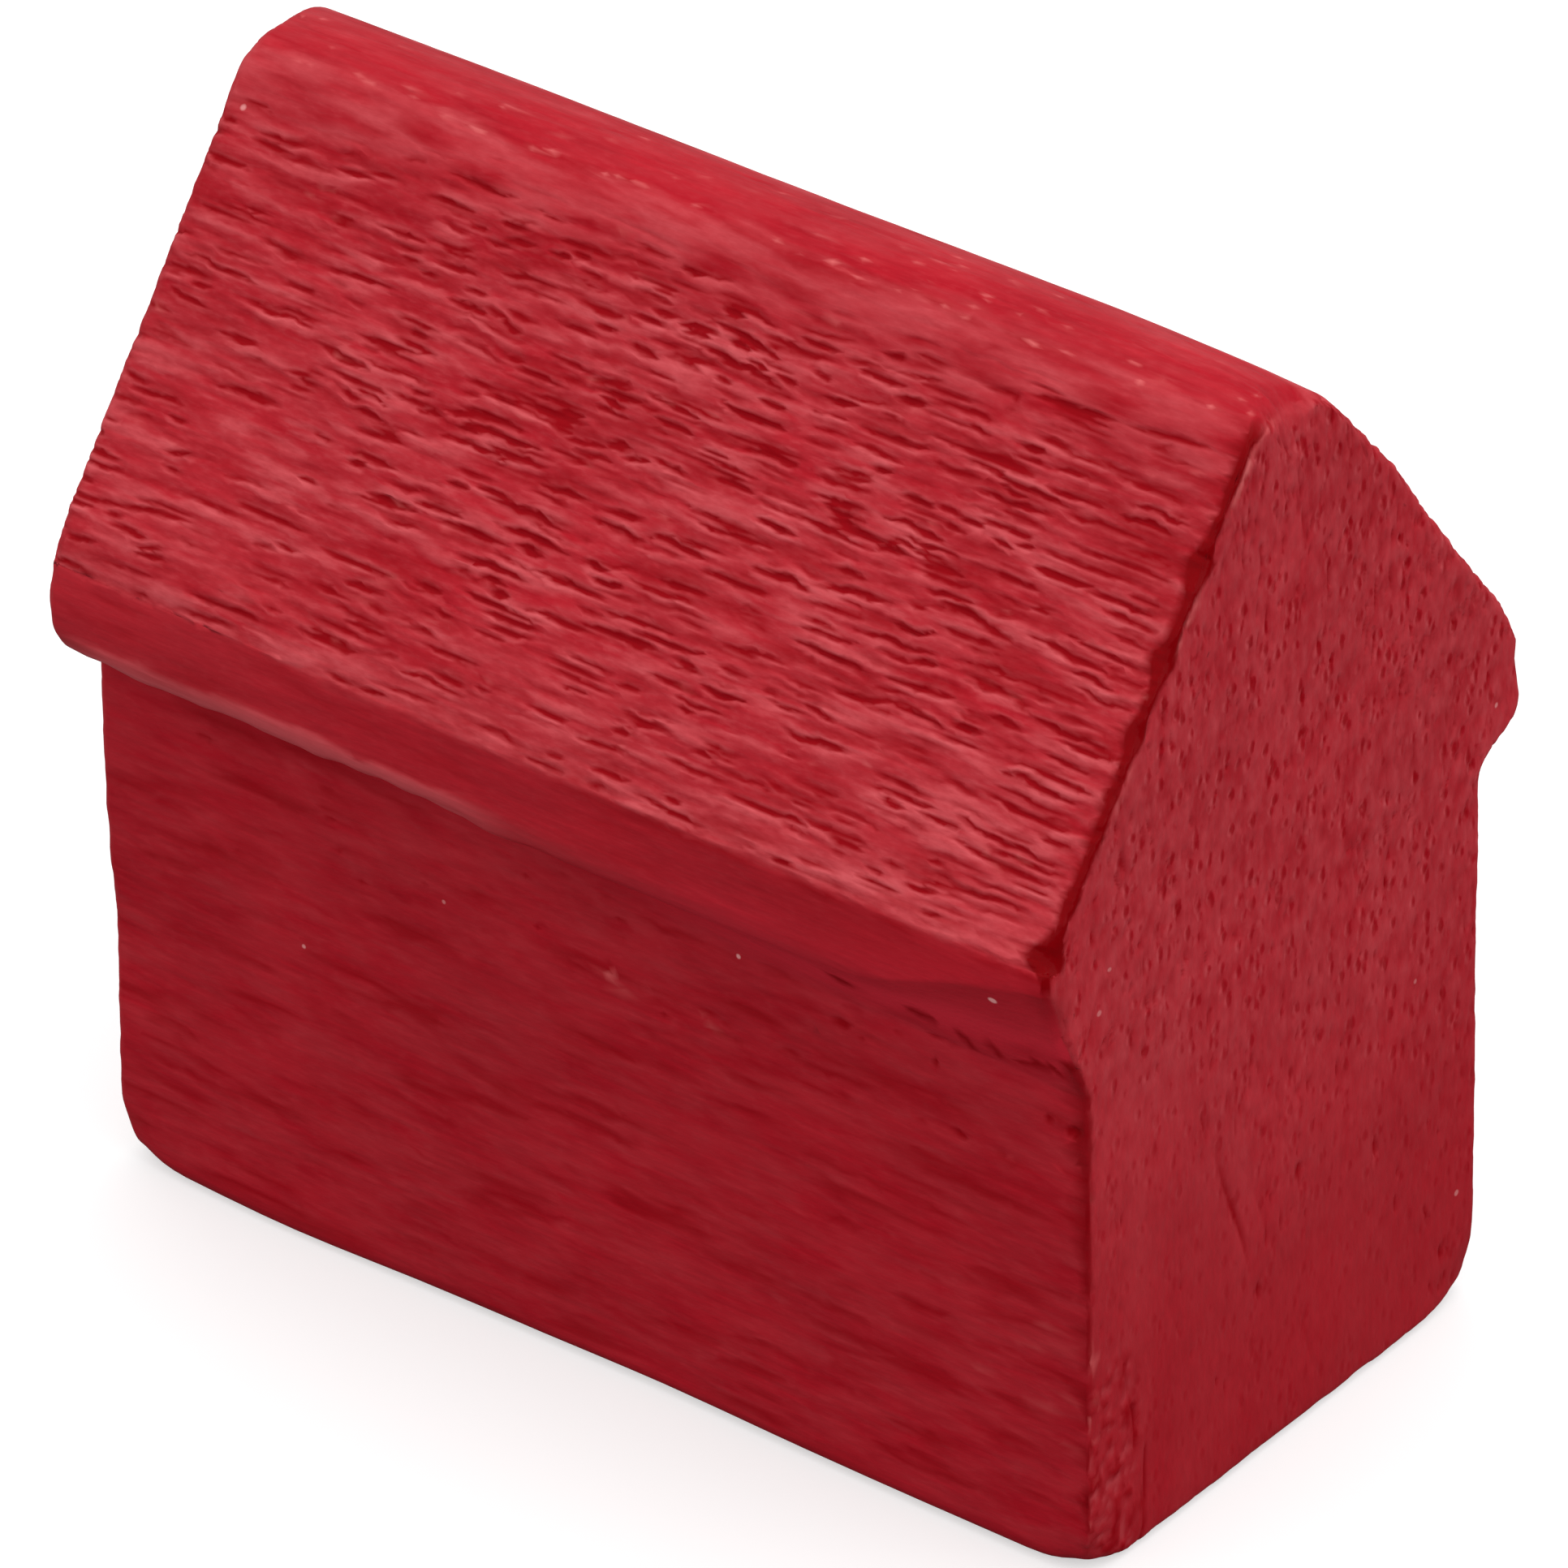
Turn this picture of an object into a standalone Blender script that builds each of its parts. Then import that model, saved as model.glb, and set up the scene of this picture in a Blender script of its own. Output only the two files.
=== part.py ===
"""Wooden house game piece: one length of moulded hardwood strip, cross-cut and painted red.

Metres, +Z up. The origin is the middle of the base. X runs along the ridge and the grain,
the two gables face +X and -X, and the two long walls face +Y and -Y.
"""
from math import acos, atan2, ceil, cos, hypot, pi, radians, sin

import bmesh
import bpy

# Driving dimensions
LENGTH = 0.0200              # from gable to gable, along the grain
WALL_WIDTH = 0.0103          # from long wall to long wall
WALL_HEIGHT = 0.00975        # from the base to the corner where a wall meets its eave
RIDGE_HEIGHT = 0.0192        # from the base to the top of the ridge
EAVE_OVERHANG = 0.00115      # how far the round eave stands out from its wall
EAVE_SLOPE = radians(30.0)   # underside of the eave, rising outwards
NOSE_RADIUS = 0.0015         # round front of the eave
RIDGE_RADIUS = 0.0016        # round top of the ridge
COVE_RADIUS = 0.00035        # hollow round between a wall and the underside of its eave
BASE_RADIUS = 0.00035        # long edges of the base
END_ARRIS = 0.00022          # rounded edge all the way round each gable

# Facets on the round stretches
ARC_STEP = radians(10.0)     # largest turn of one facet along the profile
ARRIS_STEPS = 3              # facets across the rounded gable edge
CREASE_ANGLE = radians(35.0) # edges that turn more than this stay sharp in shading

# Paint
PAINT_COLOUR = (0.43, 0.022, 0.032, 1.0)
PAINT_ROUGHNESS = 0.5


def arc_points(centre, radius, start, end):
    """Points along an arc from one angle to another, no facet turning more than ARC_STEP."""
    steps = max(1, ceil(abs(end - start) / ARC_STEP))
    points = []
    for step in range(steps + 1):
        angle = start + (end - start) * step / steps
        points.append((centre[0] + radius * cos(angle), centre[1] + radius * sin(angle)))
    return points


def half_outline(inset):
    """Right half of the house profile as (y, z) points, base corner to ridge, moved in by inset.

    The outline is four rounds joined by their shared tangents: the base corner, the cove under
    the eave, the nose of the eave and the ridge. An inset keeps their centres and only changes
    their radii.
    """
    wall = WALL_WIDTH / 2
    base = (wall - BASE_RADIUS, BASE_RADIUS)
    cove = (wall + COVE_RADIUS, WALL_HEIGHT - COVE_RADIUS * (1 - sin(EAVE_SLOPE)) / cos(EAVE_SLOPE))
    nose_reach = EAVE_OVERHANG - NOSE_RADIUS
    nose_rise = (NOSE_RADIUS + nose_reach * sin(EAVE_SLOPE)) / cos(EAVE_SLOPE)
    nose = (wall + nose_reach, WALL_HEIGHT + nose_rise)
    ridge = (0.0, RIDGE_HEIGHT - RIDGE_RADIUS)

    # The roof face touches both the nose round and the ridge round.
    run = ridge[0] - nose[0]
    rise = ridge[1] - nose[1]
    roof_normal = atan2(rise, run) - acos((NOSE_RADIUS - RIDGE_RADIUS) / hypot(run, rise))

    points = arc_points(base, BASE_RADIUS - inset, -pi / 2, 0.0)
    points += arc_points(cove, COVE_RADIUS + inset, pi, pi / 2 + EAVE_SLOPE)
    points += arc_points(nose, NOSE_RADIUS - inset, EAVE_SLOPE - pi / 2, 0.0)[:-1]
    points += arc_points(nose, NOSE_RADIUS - inset, 0.0, roof_normal)
    points += arc_points(ridge, RIDGE_RADIUS - inset, roof_normal, pi / 2)
    return points


def full_outline(inset):
    """Whole house profile, counter-clockwise seen from +X, with the ridge point only once."""
    right = half_outline(inset)
    left = [(-y, z) for y, z in reversed(right[:-1])]
    return right + left


def profile_stations():
    """(x, inset) of each profile along the piece, with a quarter round at both gables."""
    arris = min(END_ARRIS, BASE_RADIUS, NOSE_RADIUS, RIDGE_RADIUS)
    near_end = []
    for step in range(ARRIS_STEPS + 1):
        angle = (pi / 2) * step / ARRIS_STEPS
        near_end.append((LENGTH / 2 - arris * (1 - cos(angle)), arris * (1 - sin(angle))))
    far_end = [(-x, inset) for x, inset in near_end]
    return far_end + near_end[::-1]


def house_mesh():
    """Extrude the profile from one gable to the other, station by station."""
    stations = profile_stations()
    body = bmesh.new()
    first_x, first_inset = stations[0]
    far_gable = body.faces.new([body.verts.new((first_x, y, z)) for y, z in full_outline(first_inset)])
    cap = far_gable
    for x, inset in stations[1:]:
        grown = bmesh.ops.extrude_face_region(body, geom=[cap])
        if cap is not far_gable:
            body.faces.remove(cap)
        cap = next(item for item in grown["geom"] if isinstance(item, bmesh.types.BMFace))
        for corner, (y, z) in zip(cap.verts, full_outline(inset)):
            corner.co = (x, y, z)
    bmesh.ops.recalc_face_normals(body, faces=body.faces)
    mesh = bpy.data.meshes.new("house_block")
    body.to_mesh(mesh)
    body.free()
    mesh.shade_smooth()
    mesh.set_sharp_from_angle(angle=CREASE_ANGLE)
    return mesh


def paint_material():
    """Red paint, half matt, over the bare wood."""
    material = bpy.data.materials.new("red_painted_wood")
    material.use_nodes = True
    shader = material.node_tree.nodes["Principled BSDF"]
    shader.inputs["Base Color"].default_value = PAINT_COLOUR
    shader.inputs["Roughness"].default_value = PAINT_ROUGHNESS
    shader.inputs["Metallic"].default_value = 0.0
    return material


def build_house():
    """The whole piece: a single block of wood standing on its base."""
    mesh = house_mesh()
    mesh.materials.append(paint_material())
    house = bpy.data.objects.new("house_block", mesh)
    bpy.context.scene.collection.objects.link(house)


for leftover in list(bpy.data.objects):
    bpy.data.objects.remove(leftover, do_unlink=True)

build_house()
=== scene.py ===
"""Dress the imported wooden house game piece: torn grain, pooled paint and a half-matt red coat.

The house is one block of wood, so it is one piece here too. Its skin is extruded from the house
profile, capped at both gables, and then carved in code: open grain along the roof and walls, end
grain on the gables, torn and paint-filled edges, worn corners. Sizes are in millimetres until a
mesh is written, and in metres from there on.
"""

import logging
from dataclasses import dataclass, field
from enum import Enum
from math import atan2, ceil, cos, pi, radians, sin, tan

import bmesh
import bpy
import numpy as np
from mathutils import Matrix, Vector
from mathutils.kdtree import KDTree


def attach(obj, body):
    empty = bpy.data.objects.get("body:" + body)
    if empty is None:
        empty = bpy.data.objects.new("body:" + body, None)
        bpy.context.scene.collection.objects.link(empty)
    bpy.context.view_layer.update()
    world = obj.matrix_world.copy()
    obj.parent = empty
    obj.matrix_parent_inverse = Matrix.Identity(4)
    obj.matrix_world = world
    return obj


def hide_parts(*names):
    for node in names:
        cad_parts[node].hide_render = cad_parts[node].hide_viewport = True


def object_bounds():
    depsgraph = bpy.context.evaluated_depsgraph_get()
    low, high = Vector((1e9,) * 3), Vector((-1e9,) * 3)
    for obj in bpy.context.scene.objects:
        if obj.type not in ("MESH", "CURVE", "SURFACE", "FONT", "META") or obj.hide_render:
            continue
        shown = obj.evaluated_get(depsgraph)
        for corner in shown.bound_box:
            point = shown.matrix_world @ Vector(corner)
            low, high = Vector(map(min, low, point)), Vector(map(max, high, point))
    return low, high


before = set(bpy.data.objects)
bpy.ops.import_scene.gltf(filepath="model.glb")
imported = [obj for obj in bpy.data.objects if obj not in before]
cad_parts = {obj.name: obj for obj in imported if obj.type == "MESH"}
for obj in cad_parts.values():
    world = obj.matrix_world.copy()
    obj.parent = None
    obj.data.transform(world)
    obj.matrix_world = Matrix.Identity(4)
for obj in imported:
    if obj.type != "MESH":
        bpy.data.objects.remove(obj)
CAD_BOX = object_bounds()

Pair = tuple[float, float]
Triple = tuple[float, float, float]
Socket = bpy.types.NodeSocket

MM = 0.001
NODE = "house_block"
BODY = "root"
UV_LAYER = "OFBake"
SIDE_MARKS = ("groove_and_shade", "rub_and_sheen", "open", "fleck_and_glint", "painted_uplight")
ALL_MARKS = ("groove_and_shade", "rub_and_sheen", "pool", "gable", "open", "fleck_and_glint", "painted_uplight", "girth")
LOG = logging.getLogger("house")


class Side(Enum):
    """The long side of the house that a stretch of skin belongs to."""

    FRONT = -1
    BACK = 1


class End(Enum):
    """The gable end of the house, by the sign of X."""

    NEAR = 1
    FAR = -1


def lattice(column: np.ndarray, row: np.ndarray, seed: int) -> np.ndarray:
    """Scatter whole-numbered places into values from -1 to 1.

    Args:
        column: Whole numbers along the first axis.
        row: Whole numbers along the second axis.
        seed: Picks one pattern among many.

    Returns:
        One value per place, always the same for the same place and seed.
    """
    mask = 0xFFFFFFFF
    # Large odd factors and shifted copies throw neighbouring places far apart.
    mixed = column.astype(np.int64) * 374761393 + row.astype(np.int64) * 668265263 + seed * 1013904223
    mixed &= mask
    mixed = ((mixed ^ (mixed >> 13)) * 1274126177) & mask
    mixed = ((mixed ^ (mixed >> 15)) * 1103515245) & mask
    mixed ^= mixed >> 16
    return mixed / (mask / 2) - 1.0


def eased(share: np.ndarray) -> np.ndarray:
    """Rise from 0 to 1 with neither slope nor bend at the two ends."""
    return share * share * share * (share * (share * 6 - 15) + 10)


def smooth_noise(across: np.ndarray, along: np.ndarray, seed: int) -> np.ndarray:
    """Smooth noise on a plane, one wave per unit.

    Args:
        across: First coordinate, in waves.
        along: Second coordinate, in waves.
        seed: Picks one pattern among many.

    Returns:
        Values from -1 to 1.
    """
    column = np.floor(across)
    row = np.floor(along)
    u = eased(across - column)
    v = eased(along - row)
    low = lattice(column, row, seed) * (1 - u) + lattice(column + 1, row, seed) * u
    high = lattice(column, row + 1, seed) * (1 - u) + lattice(column + 1, row + 1, seed) * u
    return low * (1 - v) + high * v


def rough_noise(across: np.ndarray, along: np.ndarray, seed: int, layers: int = 3) -> np.ndarray:
    """Several layers of smooth noise, each twice as fine and half as strong as the one before.

    Args:
        across: First coordinate, in waves of the coarsest layer.
        along: Second coordinate, in waves of the coarsest layer.
        seed: Picks one pattern among many.
        layers: How many layers to add.

    Returns:
        Values that mostly lie from -1 to 1.
    """
    seed_step = 31
    usual_peak = 1.6
    total = np.zeros(np.broadcast(across, along).shape)
    for layer in range(layers):
        finer = 2 ** layer
        total += smooth_noise(across * finer, along * finer, seed + seed_step * layer) / finer
    return total / usual_peak


def wave(place: np.ndarray, length: float, seed: int) -> np.ndarray:
    """Smooth noise along a line, from -1 to 1, one wave per length."""
    return smooth_noise(place / length, place * 0.0, seed)


def ramp(value: np.ndarray, start: float, end: float) -> np.ndarray:
    """Rise smoothly from 0 at start to 1 at end."""
    t = np.clip((value - start) / (end - start), 0.0, 1.0)
    return t * t * (3 - 2 * t)


def bump(value: np.ndarray, centre: float, half_width: float) -> np.ndarray:
    """A smooth hump that is 1 at its centre and fades out over its half width."""
    return np.exp(-(((value - centre) / half_width) ** 2))


def stretch(value: np.ndarray, start: Pair, end: Pair) -> np.ndarray:
    """Rise from 0 to 1 over the first span and fall back to 0 over the second."""
    return ramp(value, *start) * (1 - ramp(value, *end))


def torn_edge(end: np.ndarray, climb: np.ndarray) -> np.ndarray:
    """Which places belong to the front half of the near gable's edge, where the saw tore the wood."""
    return (climb < 0) & (end > 0)


@dataclass(frozen=True)
class Corner:
    """One corner of the house profile and the round that softens it, in millimetres."""

    y: float
    z: float
    radius: float


@dataclass(frozen=True)
class HouseProfile:
    """Half of the house's cross-section, from the base up to the ridge, as rounded corners."""

    base: Corner = Corner(5.15, 0.0, 0.35)
    cove: Corner = Corner(5.15, 9.80, 0.35)
    nose: Corner = Corner(6.30, 10.40, 0.65)
    arris: Corner = Corner(6.212, 11.87, 0.12)
    shoulder: Corner = Corner(5.733, 12.55, 0.80)
    ridge: Corner = Corner(0.0, 20.16, 1.56)
    fine_step: float = 0.01
    arc_points: int = 97

    def half(self) -> np.ndarray:
        """Trace the profile of one side.

        Returns:
            Points (y, z) a fine step apart, from the middle of the base to the top of the ridge.
        """
        mirrored = Corner(-self.shoulder.y, self.shoulder.z, 0.0)
        corners = [self.base, self.cove, self.nose, self.arris, self.shoulder, self.ridge]
        before = [Corner(0.0, 0.0, 0.0)] + corners[:-1]
        after = corners[1:] + [mirrored]
        path = [np.array([[0.0, 0.0]])]
        for previous, corner, following in zip(before, corners, after):
            path.append(self.rounded(previous, corner, following))
        points = np.concatenate(path)
        points = points[points[:, 0] >= -1e-9]
        return self.evenly(points)

    def rounded(self, previous: Corner, corner: Corner, following: Corner) -> np.ndarray:
        """Round one corner of the profile.

        Args:
            previous: The corner that the outline comes from.
            corner: The corner to round.
            following: The corner that the outline goes to.

        Returns:
            Points along the arc.
        """
        at = np.array([corner.y, corner.z])
        back = np.array([previous.y, previous.z]) - at
        ahead = np.array([following.y, following.z]) - at
        back /= np.linalg.norm(back)
        ahead /= np.linalg.norm(ahead)
        half = np.arccos(back @ ahead) / 2
        inward = (back + ahead) / np.linalg.norm(back + ahead)
        centre = at + inward * corner.radius / sin(half)
        start = at + back * corner.radius / tan(half) - centre
        end = at + ahead * corner.radius / tan(half) - centre
        first = atan2(start[1], start[0])
        turn = (atan2(end[1], end[0]) - first + pi) % (2 * pi) - pi
        angles = first + turn * np.linspace(0.0, 1.0, self.arc_points)
        return centre + corner.radius * np.stack([np.cos(angles), np.sin(angles)], axis=1)

    def evenly(self, points: np.ndarray) -> np.ndarray:
        """Space points evenly along a path.

        Args:
            points: The corners of the path.

        Returns:
            Points on the path, a fine step apart.
        """
        gaps = np.linalg.norm(np.diff(points, axis=0), axis=1)
        run = np.concatenate([[0.0], np.cumsum(gaps)])
        places = np.linspace(0.0, run[-1], ceil(run[-1] / self.fine_step) + 1)
        return np.stack([np.interp(places, run, points[:, axis]) for axis in (0, 1)], axis=1)


@dataclass
class ReliefMap:
    """Depths over a flat patch, in millimetres, that dashes of open grain are pressed into."""

    low: Pair
    high: Pair
    step: Pair
    depth: np.ndarray = field(init=False)

    def __post_init__(self) -> None:
        """Lay out the empty map."""
        self.columns = np.arange(self.low[0], self.high[0] + self.step[0], self.step[0])
        self.rows = np.arange(self.low[1], self.high[1] + self.step[1], self.step[1])
        self.depth = np.zeros((len(self.rows), len(self.columns)))

    def press(self, u: float, v: float, length: float, width: float, depth: float, turn: float) -> None:
        """Press one dash into the map, lens-shaped, deepest in its middle.

        Args:
            u: Middle of the dash along the grain.
            v: Middle of the dash across the grain.
            length: Full length of the dash.
            width: Full width of the dash.
            depth: Depth at its middle.
            turn: Angle to the grain, in radians.
        """
        reach_u = length / 2 + width
        reach_v = width + abs(turn) * length / 2
        first_column, last_column = np.searchsorted(self.columns, (u - reach_u, u + reach_u))
        first_row, last_row = np.searchsorted(self.rows, (v - reach_v, v + reach_v))
        if first_column == last_column or first_row == last_row:
            return
        du = self.columns[None, first_column:last_column] - u
        dv = self.rows[first_row:last_row, None] - v
        along = (du * cos(turn) + dv * sin(turn)) / (length / 2)
        across = (dv * cos(turn) - du * sin(turn)) / (width / 2)
        taper = 0.75
        narrowest = 0.35
        lens = np.clip(1 - along ** 2, 0.0, 1.0) ** taper
        shape = depth * lens * np.exp(-((across / np.maximum(lens, narrowest)) ** 2))
        window = self.depth[first_row:last_row, first_column:last_column]
        np.maximum(window, shape, out=window)

    def at(self, u: np.ndarray, v: np.ndarray) -> np.ndarray:
        """Read the map at any places, straight between its points.

        Args:
            u: Places along the grain.
            v: Places across the grain.

        Returns:
            The depth at each place.
        """
        brink = 1.001
        column = np.clip((u - self.low[0]) / self.step[0], 0, len(self.columns) - brink)
        row = np.clip((v - self.low[1]) / self.step[1], 0, len(self.rows) - brink)
        i = column.astype(int)
        j = row.astype(int)
        fu = column - i
        fv = row - j
        top = self.depth[j, i] * (1 - fu) + self.depth[j, i + 1] * fu
        bottom = self.depth[j + 1, i] * (1 - fu) + self.depth[j + 1, i + 1] * fu
        return top * (1 - fv) + bottom * fv


@dataclass(frozen=True)
class GrainZone:
    """A stretch of the profile and its open grain, in millimetres and dashes per square millimetre."""

    start: float
    end: float
    density: float
    length: Pair
    width: Pair
    depth: Pair
    cluster: float = 0.5


@dataclass(frozen=True)
class PoreRows:
    """Rows of long pores on a roof slope: where they lie and the ranges of their sizes."""

    start: float
    end: float
    spacing: Pair
    gap: float
    length: Pair
    width: Pair
    depth: Pair


@dataclass(frozen=True)
class Comb:
    """Close, parallel grooves where the saw tore the roof's grain at the near gable."""

    start: float = 18.05
    end: float = 24.7
    spacing: Pair = (0.15, 0.31)
    length: Pair = (0.8, 2.8)
    setback: Pair = (0.02, 0.6)
    depth: Pair = (0.040, 0.090)
    width: Pair = (0.065, 0.100)
    turn: float = 0.02


@dataclass(frozen=True)
class FleckBand:
    """A band of the front with pale flecks: how many, where, how pale and how far they turn."""

    count: int
    start: float
    end: float
    pale: float
    turn: float


@dataclass(frozen=True)
class Dash:
    """One listed mark: where it starts and ends, its width and its depth."""

    start: Pair
    end: Pair
    width: float
    depth: float


@dataclass(frozen=True)
class EdgeChip:
    """A bite out of a gable's edge: its place up the profile, its half width and its depth."""

    climb: float
    half_width: float
    bite: float


@dataclass(frozen=True)
class WornCorner:
    """A corner that handling has rubbed round: its place, its push inwards and its reach."""

    place: Triple
    push: float
    reach: float


@dataclass(frozen=True)
class Speck:
    """A speck in the paint: its place on the front or the near gable, its radius and its paleness."""

    place: Pair
    radius: float
    pale: float


@dataclass
class PaintNodes:
    """The nodes of one material, and the small steps that a paint is put together from."""

    tree: bpy.types.NodeTree

    def __post_init__(self) -> None:
        """Start from the place of each point on the piece."""
        self.place = self.tree.nodes.new("ShaderNodeTexCoord").outputs["Object"]

    def link(self, source: Socket, target: Socket) -> None:
        """Join two sockets."""
        self.tree.links.new(source, target)

    def attribute(self, name: str) -> Socket:
        """Read one of the skin's own attributes.

        Args:
            name: The attribute's name.

        Returns:
            Its value.
        """
        node = self.tree.nodes.new("ShaderNodeAttribute")
        node.attribute_name = name
        return node.outputs["Fac"]

    def mapped(self, scale: Triple, shift: float = 0.0) -> Socket:
        """Count places in waves of a pattern.

        Args:
            scale: Waves per metre along X, Y and Z.
            shift: How far the pattern moves across, in waves.

        Returns:
            The places.
        """
        node = self.tree.nodes.new("ShaderNodeMapping")
        node.inputs["Scale"].default_value = scale
        node.inputs["Location"].default_value = (0.0, shift, 0.0)
        self.link(self.place, node.inputs["Vector"])
        return node.outputs["Vector"]

    def streaks(self, scale: Triple) -> Socket:
        """Noise stretched along one axis.

        Args:
            scale: Waves per metre along X, Y and Z.

        Returns:
            The noise, from 0 to 1.
        """
        noise = self.tree.nodes.new("ShaderNodeTexNoise")
        noise.inputs["Scale"].default_value = 1.0
        noise.inputs["Detail"].default_value = 3.0
        noise.inputs["Roughness"].default_value = 0.55
        self.link(self.mapped(scale), noise.inputs["Vector"])
        return noise.outputs["Fac"]

    def cells(self, scale: Triple, shift: float) -> Socket:
        """How far each place is from the middle of its cell.

        Args:
            scale: Cells per metre along X, Y and Z.
            shift: How far the cells move across, in cells.

        Returns:
            The distance, in cells.
        """
        node = self.tree.nodes.new("ShaderNodeTexVoronoi")
        node.inputs["Scale"].default_value = 1.0
        self.link(self.mapped(scale, shift), node.inputs["Vector"])
        return node.outputs["Distance"]

    def fall(self, value: Socket, edge: float, core: float, strength: float = 1.0) -> Socket:
        """Rise from 0 where a value is at the edge to full strength where it is at the core.

        Args:
            value: The value.
            edge: Where the result is 0, and stays so beyond.
            core: Where the result is full, and stays so beyond.
            strength: The full result.

        Returns:
            The result.
        """
        node = self.tree.nodes.new("ShaderNodeMapRange")
        node.inputs["From Min"].default_value = edge
        node.inputs["From Max"].default_value = core
        node.inputs["To Max"].default_value = strength
        self.link(value, node.inputs["Value"])
        return node.outputs["Result"]

    def spot(self, middle: Vector, radius: float, strength: float) -> Socket:
        """A small round spot.

        Args:
            middle: The spot's middle, in metres.
            radius: Its radius, in metres.
            strength: Its value in the middle.

        Returns:
            The strength in the spot's core, falling off to 0 at its edge.
        """
        core = 0.6
        far = self.tree.nodes.new("ShaderNodeVectorMath")
        far.operation = "DISTANCE"
        self.link(self.place, far.inputs[0])
        far.inputs[1].default_value = middle
        return self.fall(far.outputs["Value"], radius, core * radius, strength)

    def blend(self, share: Socket, first: Socket, second: Socket) -> Socket:
        """Mix two values by a third.

        Args:
            share: How much of the second value shows.
            first: The value where the share is 0.
            second: The value where the share is 1.

        Returns:
            The mixed value.
        """
        node = self.tree.nodes.new("ShaderNodeMix")
        self.link(share, node.inputs["Factor"])
        self.link(first, node.inputs["A"])
        self.link(second, node.inputs["B"])
        return node.outputs["Result"]

    def cover(self, colour: Socket, share: Socket, other: Triple) -> Socket:
        """Cover a colour with a fixed one.

        Args:
            colour: The colour underneath.
            share: How much of the fixed colour shows.
            other: The fixed colour.

        Returns:
            The mixed colour.
        """
        node = self.tree.nodes.new("ShaderNodeMix")
        node.data_type = "RGBA"
        self.link(share, node.inputs["Factor"])
        # A mix node has one pair of inputs per data type: 6 and 7 are its colours, 2 the colour out.
        self.link(colour, node.inputs[6])
        node.inputs[7].default_value = (*other, 1.0)
        return node.outputs[2]

    def above_zero(self, value: Socket) -> Socket:
        """Keep a value from falling below zero.

        Args:
            value: The value.

        Returns:
            The value, or zero where it is negative.
        """
        node = self.tree.nodes.new("ShaderNodeMath")
        node.operation = "MAXIMUM"
        self.link(value, node.inputs[0])
        node.inputs[1].default_value = 0.0
        return node.outputs[0]

    def product(self, first: Socket, second: Socket) -> Socket:
        """Multiply two values.

        Args:
            first: One value.
            second: The other.

        Returns:
            Their product.
        """
        node = self.tree.nodes.new("ShaderNodeMath")
        node.operation = "MULTIPLY"
        self.link(first, node.inputs[0])
        self.link(second, node.inputs[1])
        return node.outputs[0]

    def total(self, terms: list[tuple[Socket, float]], start: float = 0.0) -> Socket:
        """Add up values, each with its own weight.

        Args:
            terms: Values and their weights.
            start: A constant to begin with.

        Returns:
            The total.
        """
        added: Socket | None = None
        for value, weight in terms:
            node = self.tree.nodes.new("ShaderNodeMath")
            node.operation = "MULTIPLY_ADD"
            self.link(value, node.inputs[0])
            node.inputs[1].default_value = weight
            if added is None:
                node.inputs[2].default_value = start
            else:
                self.link(added, node.inputs[2])
            added = node.outputs[0]
        return added


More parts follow.
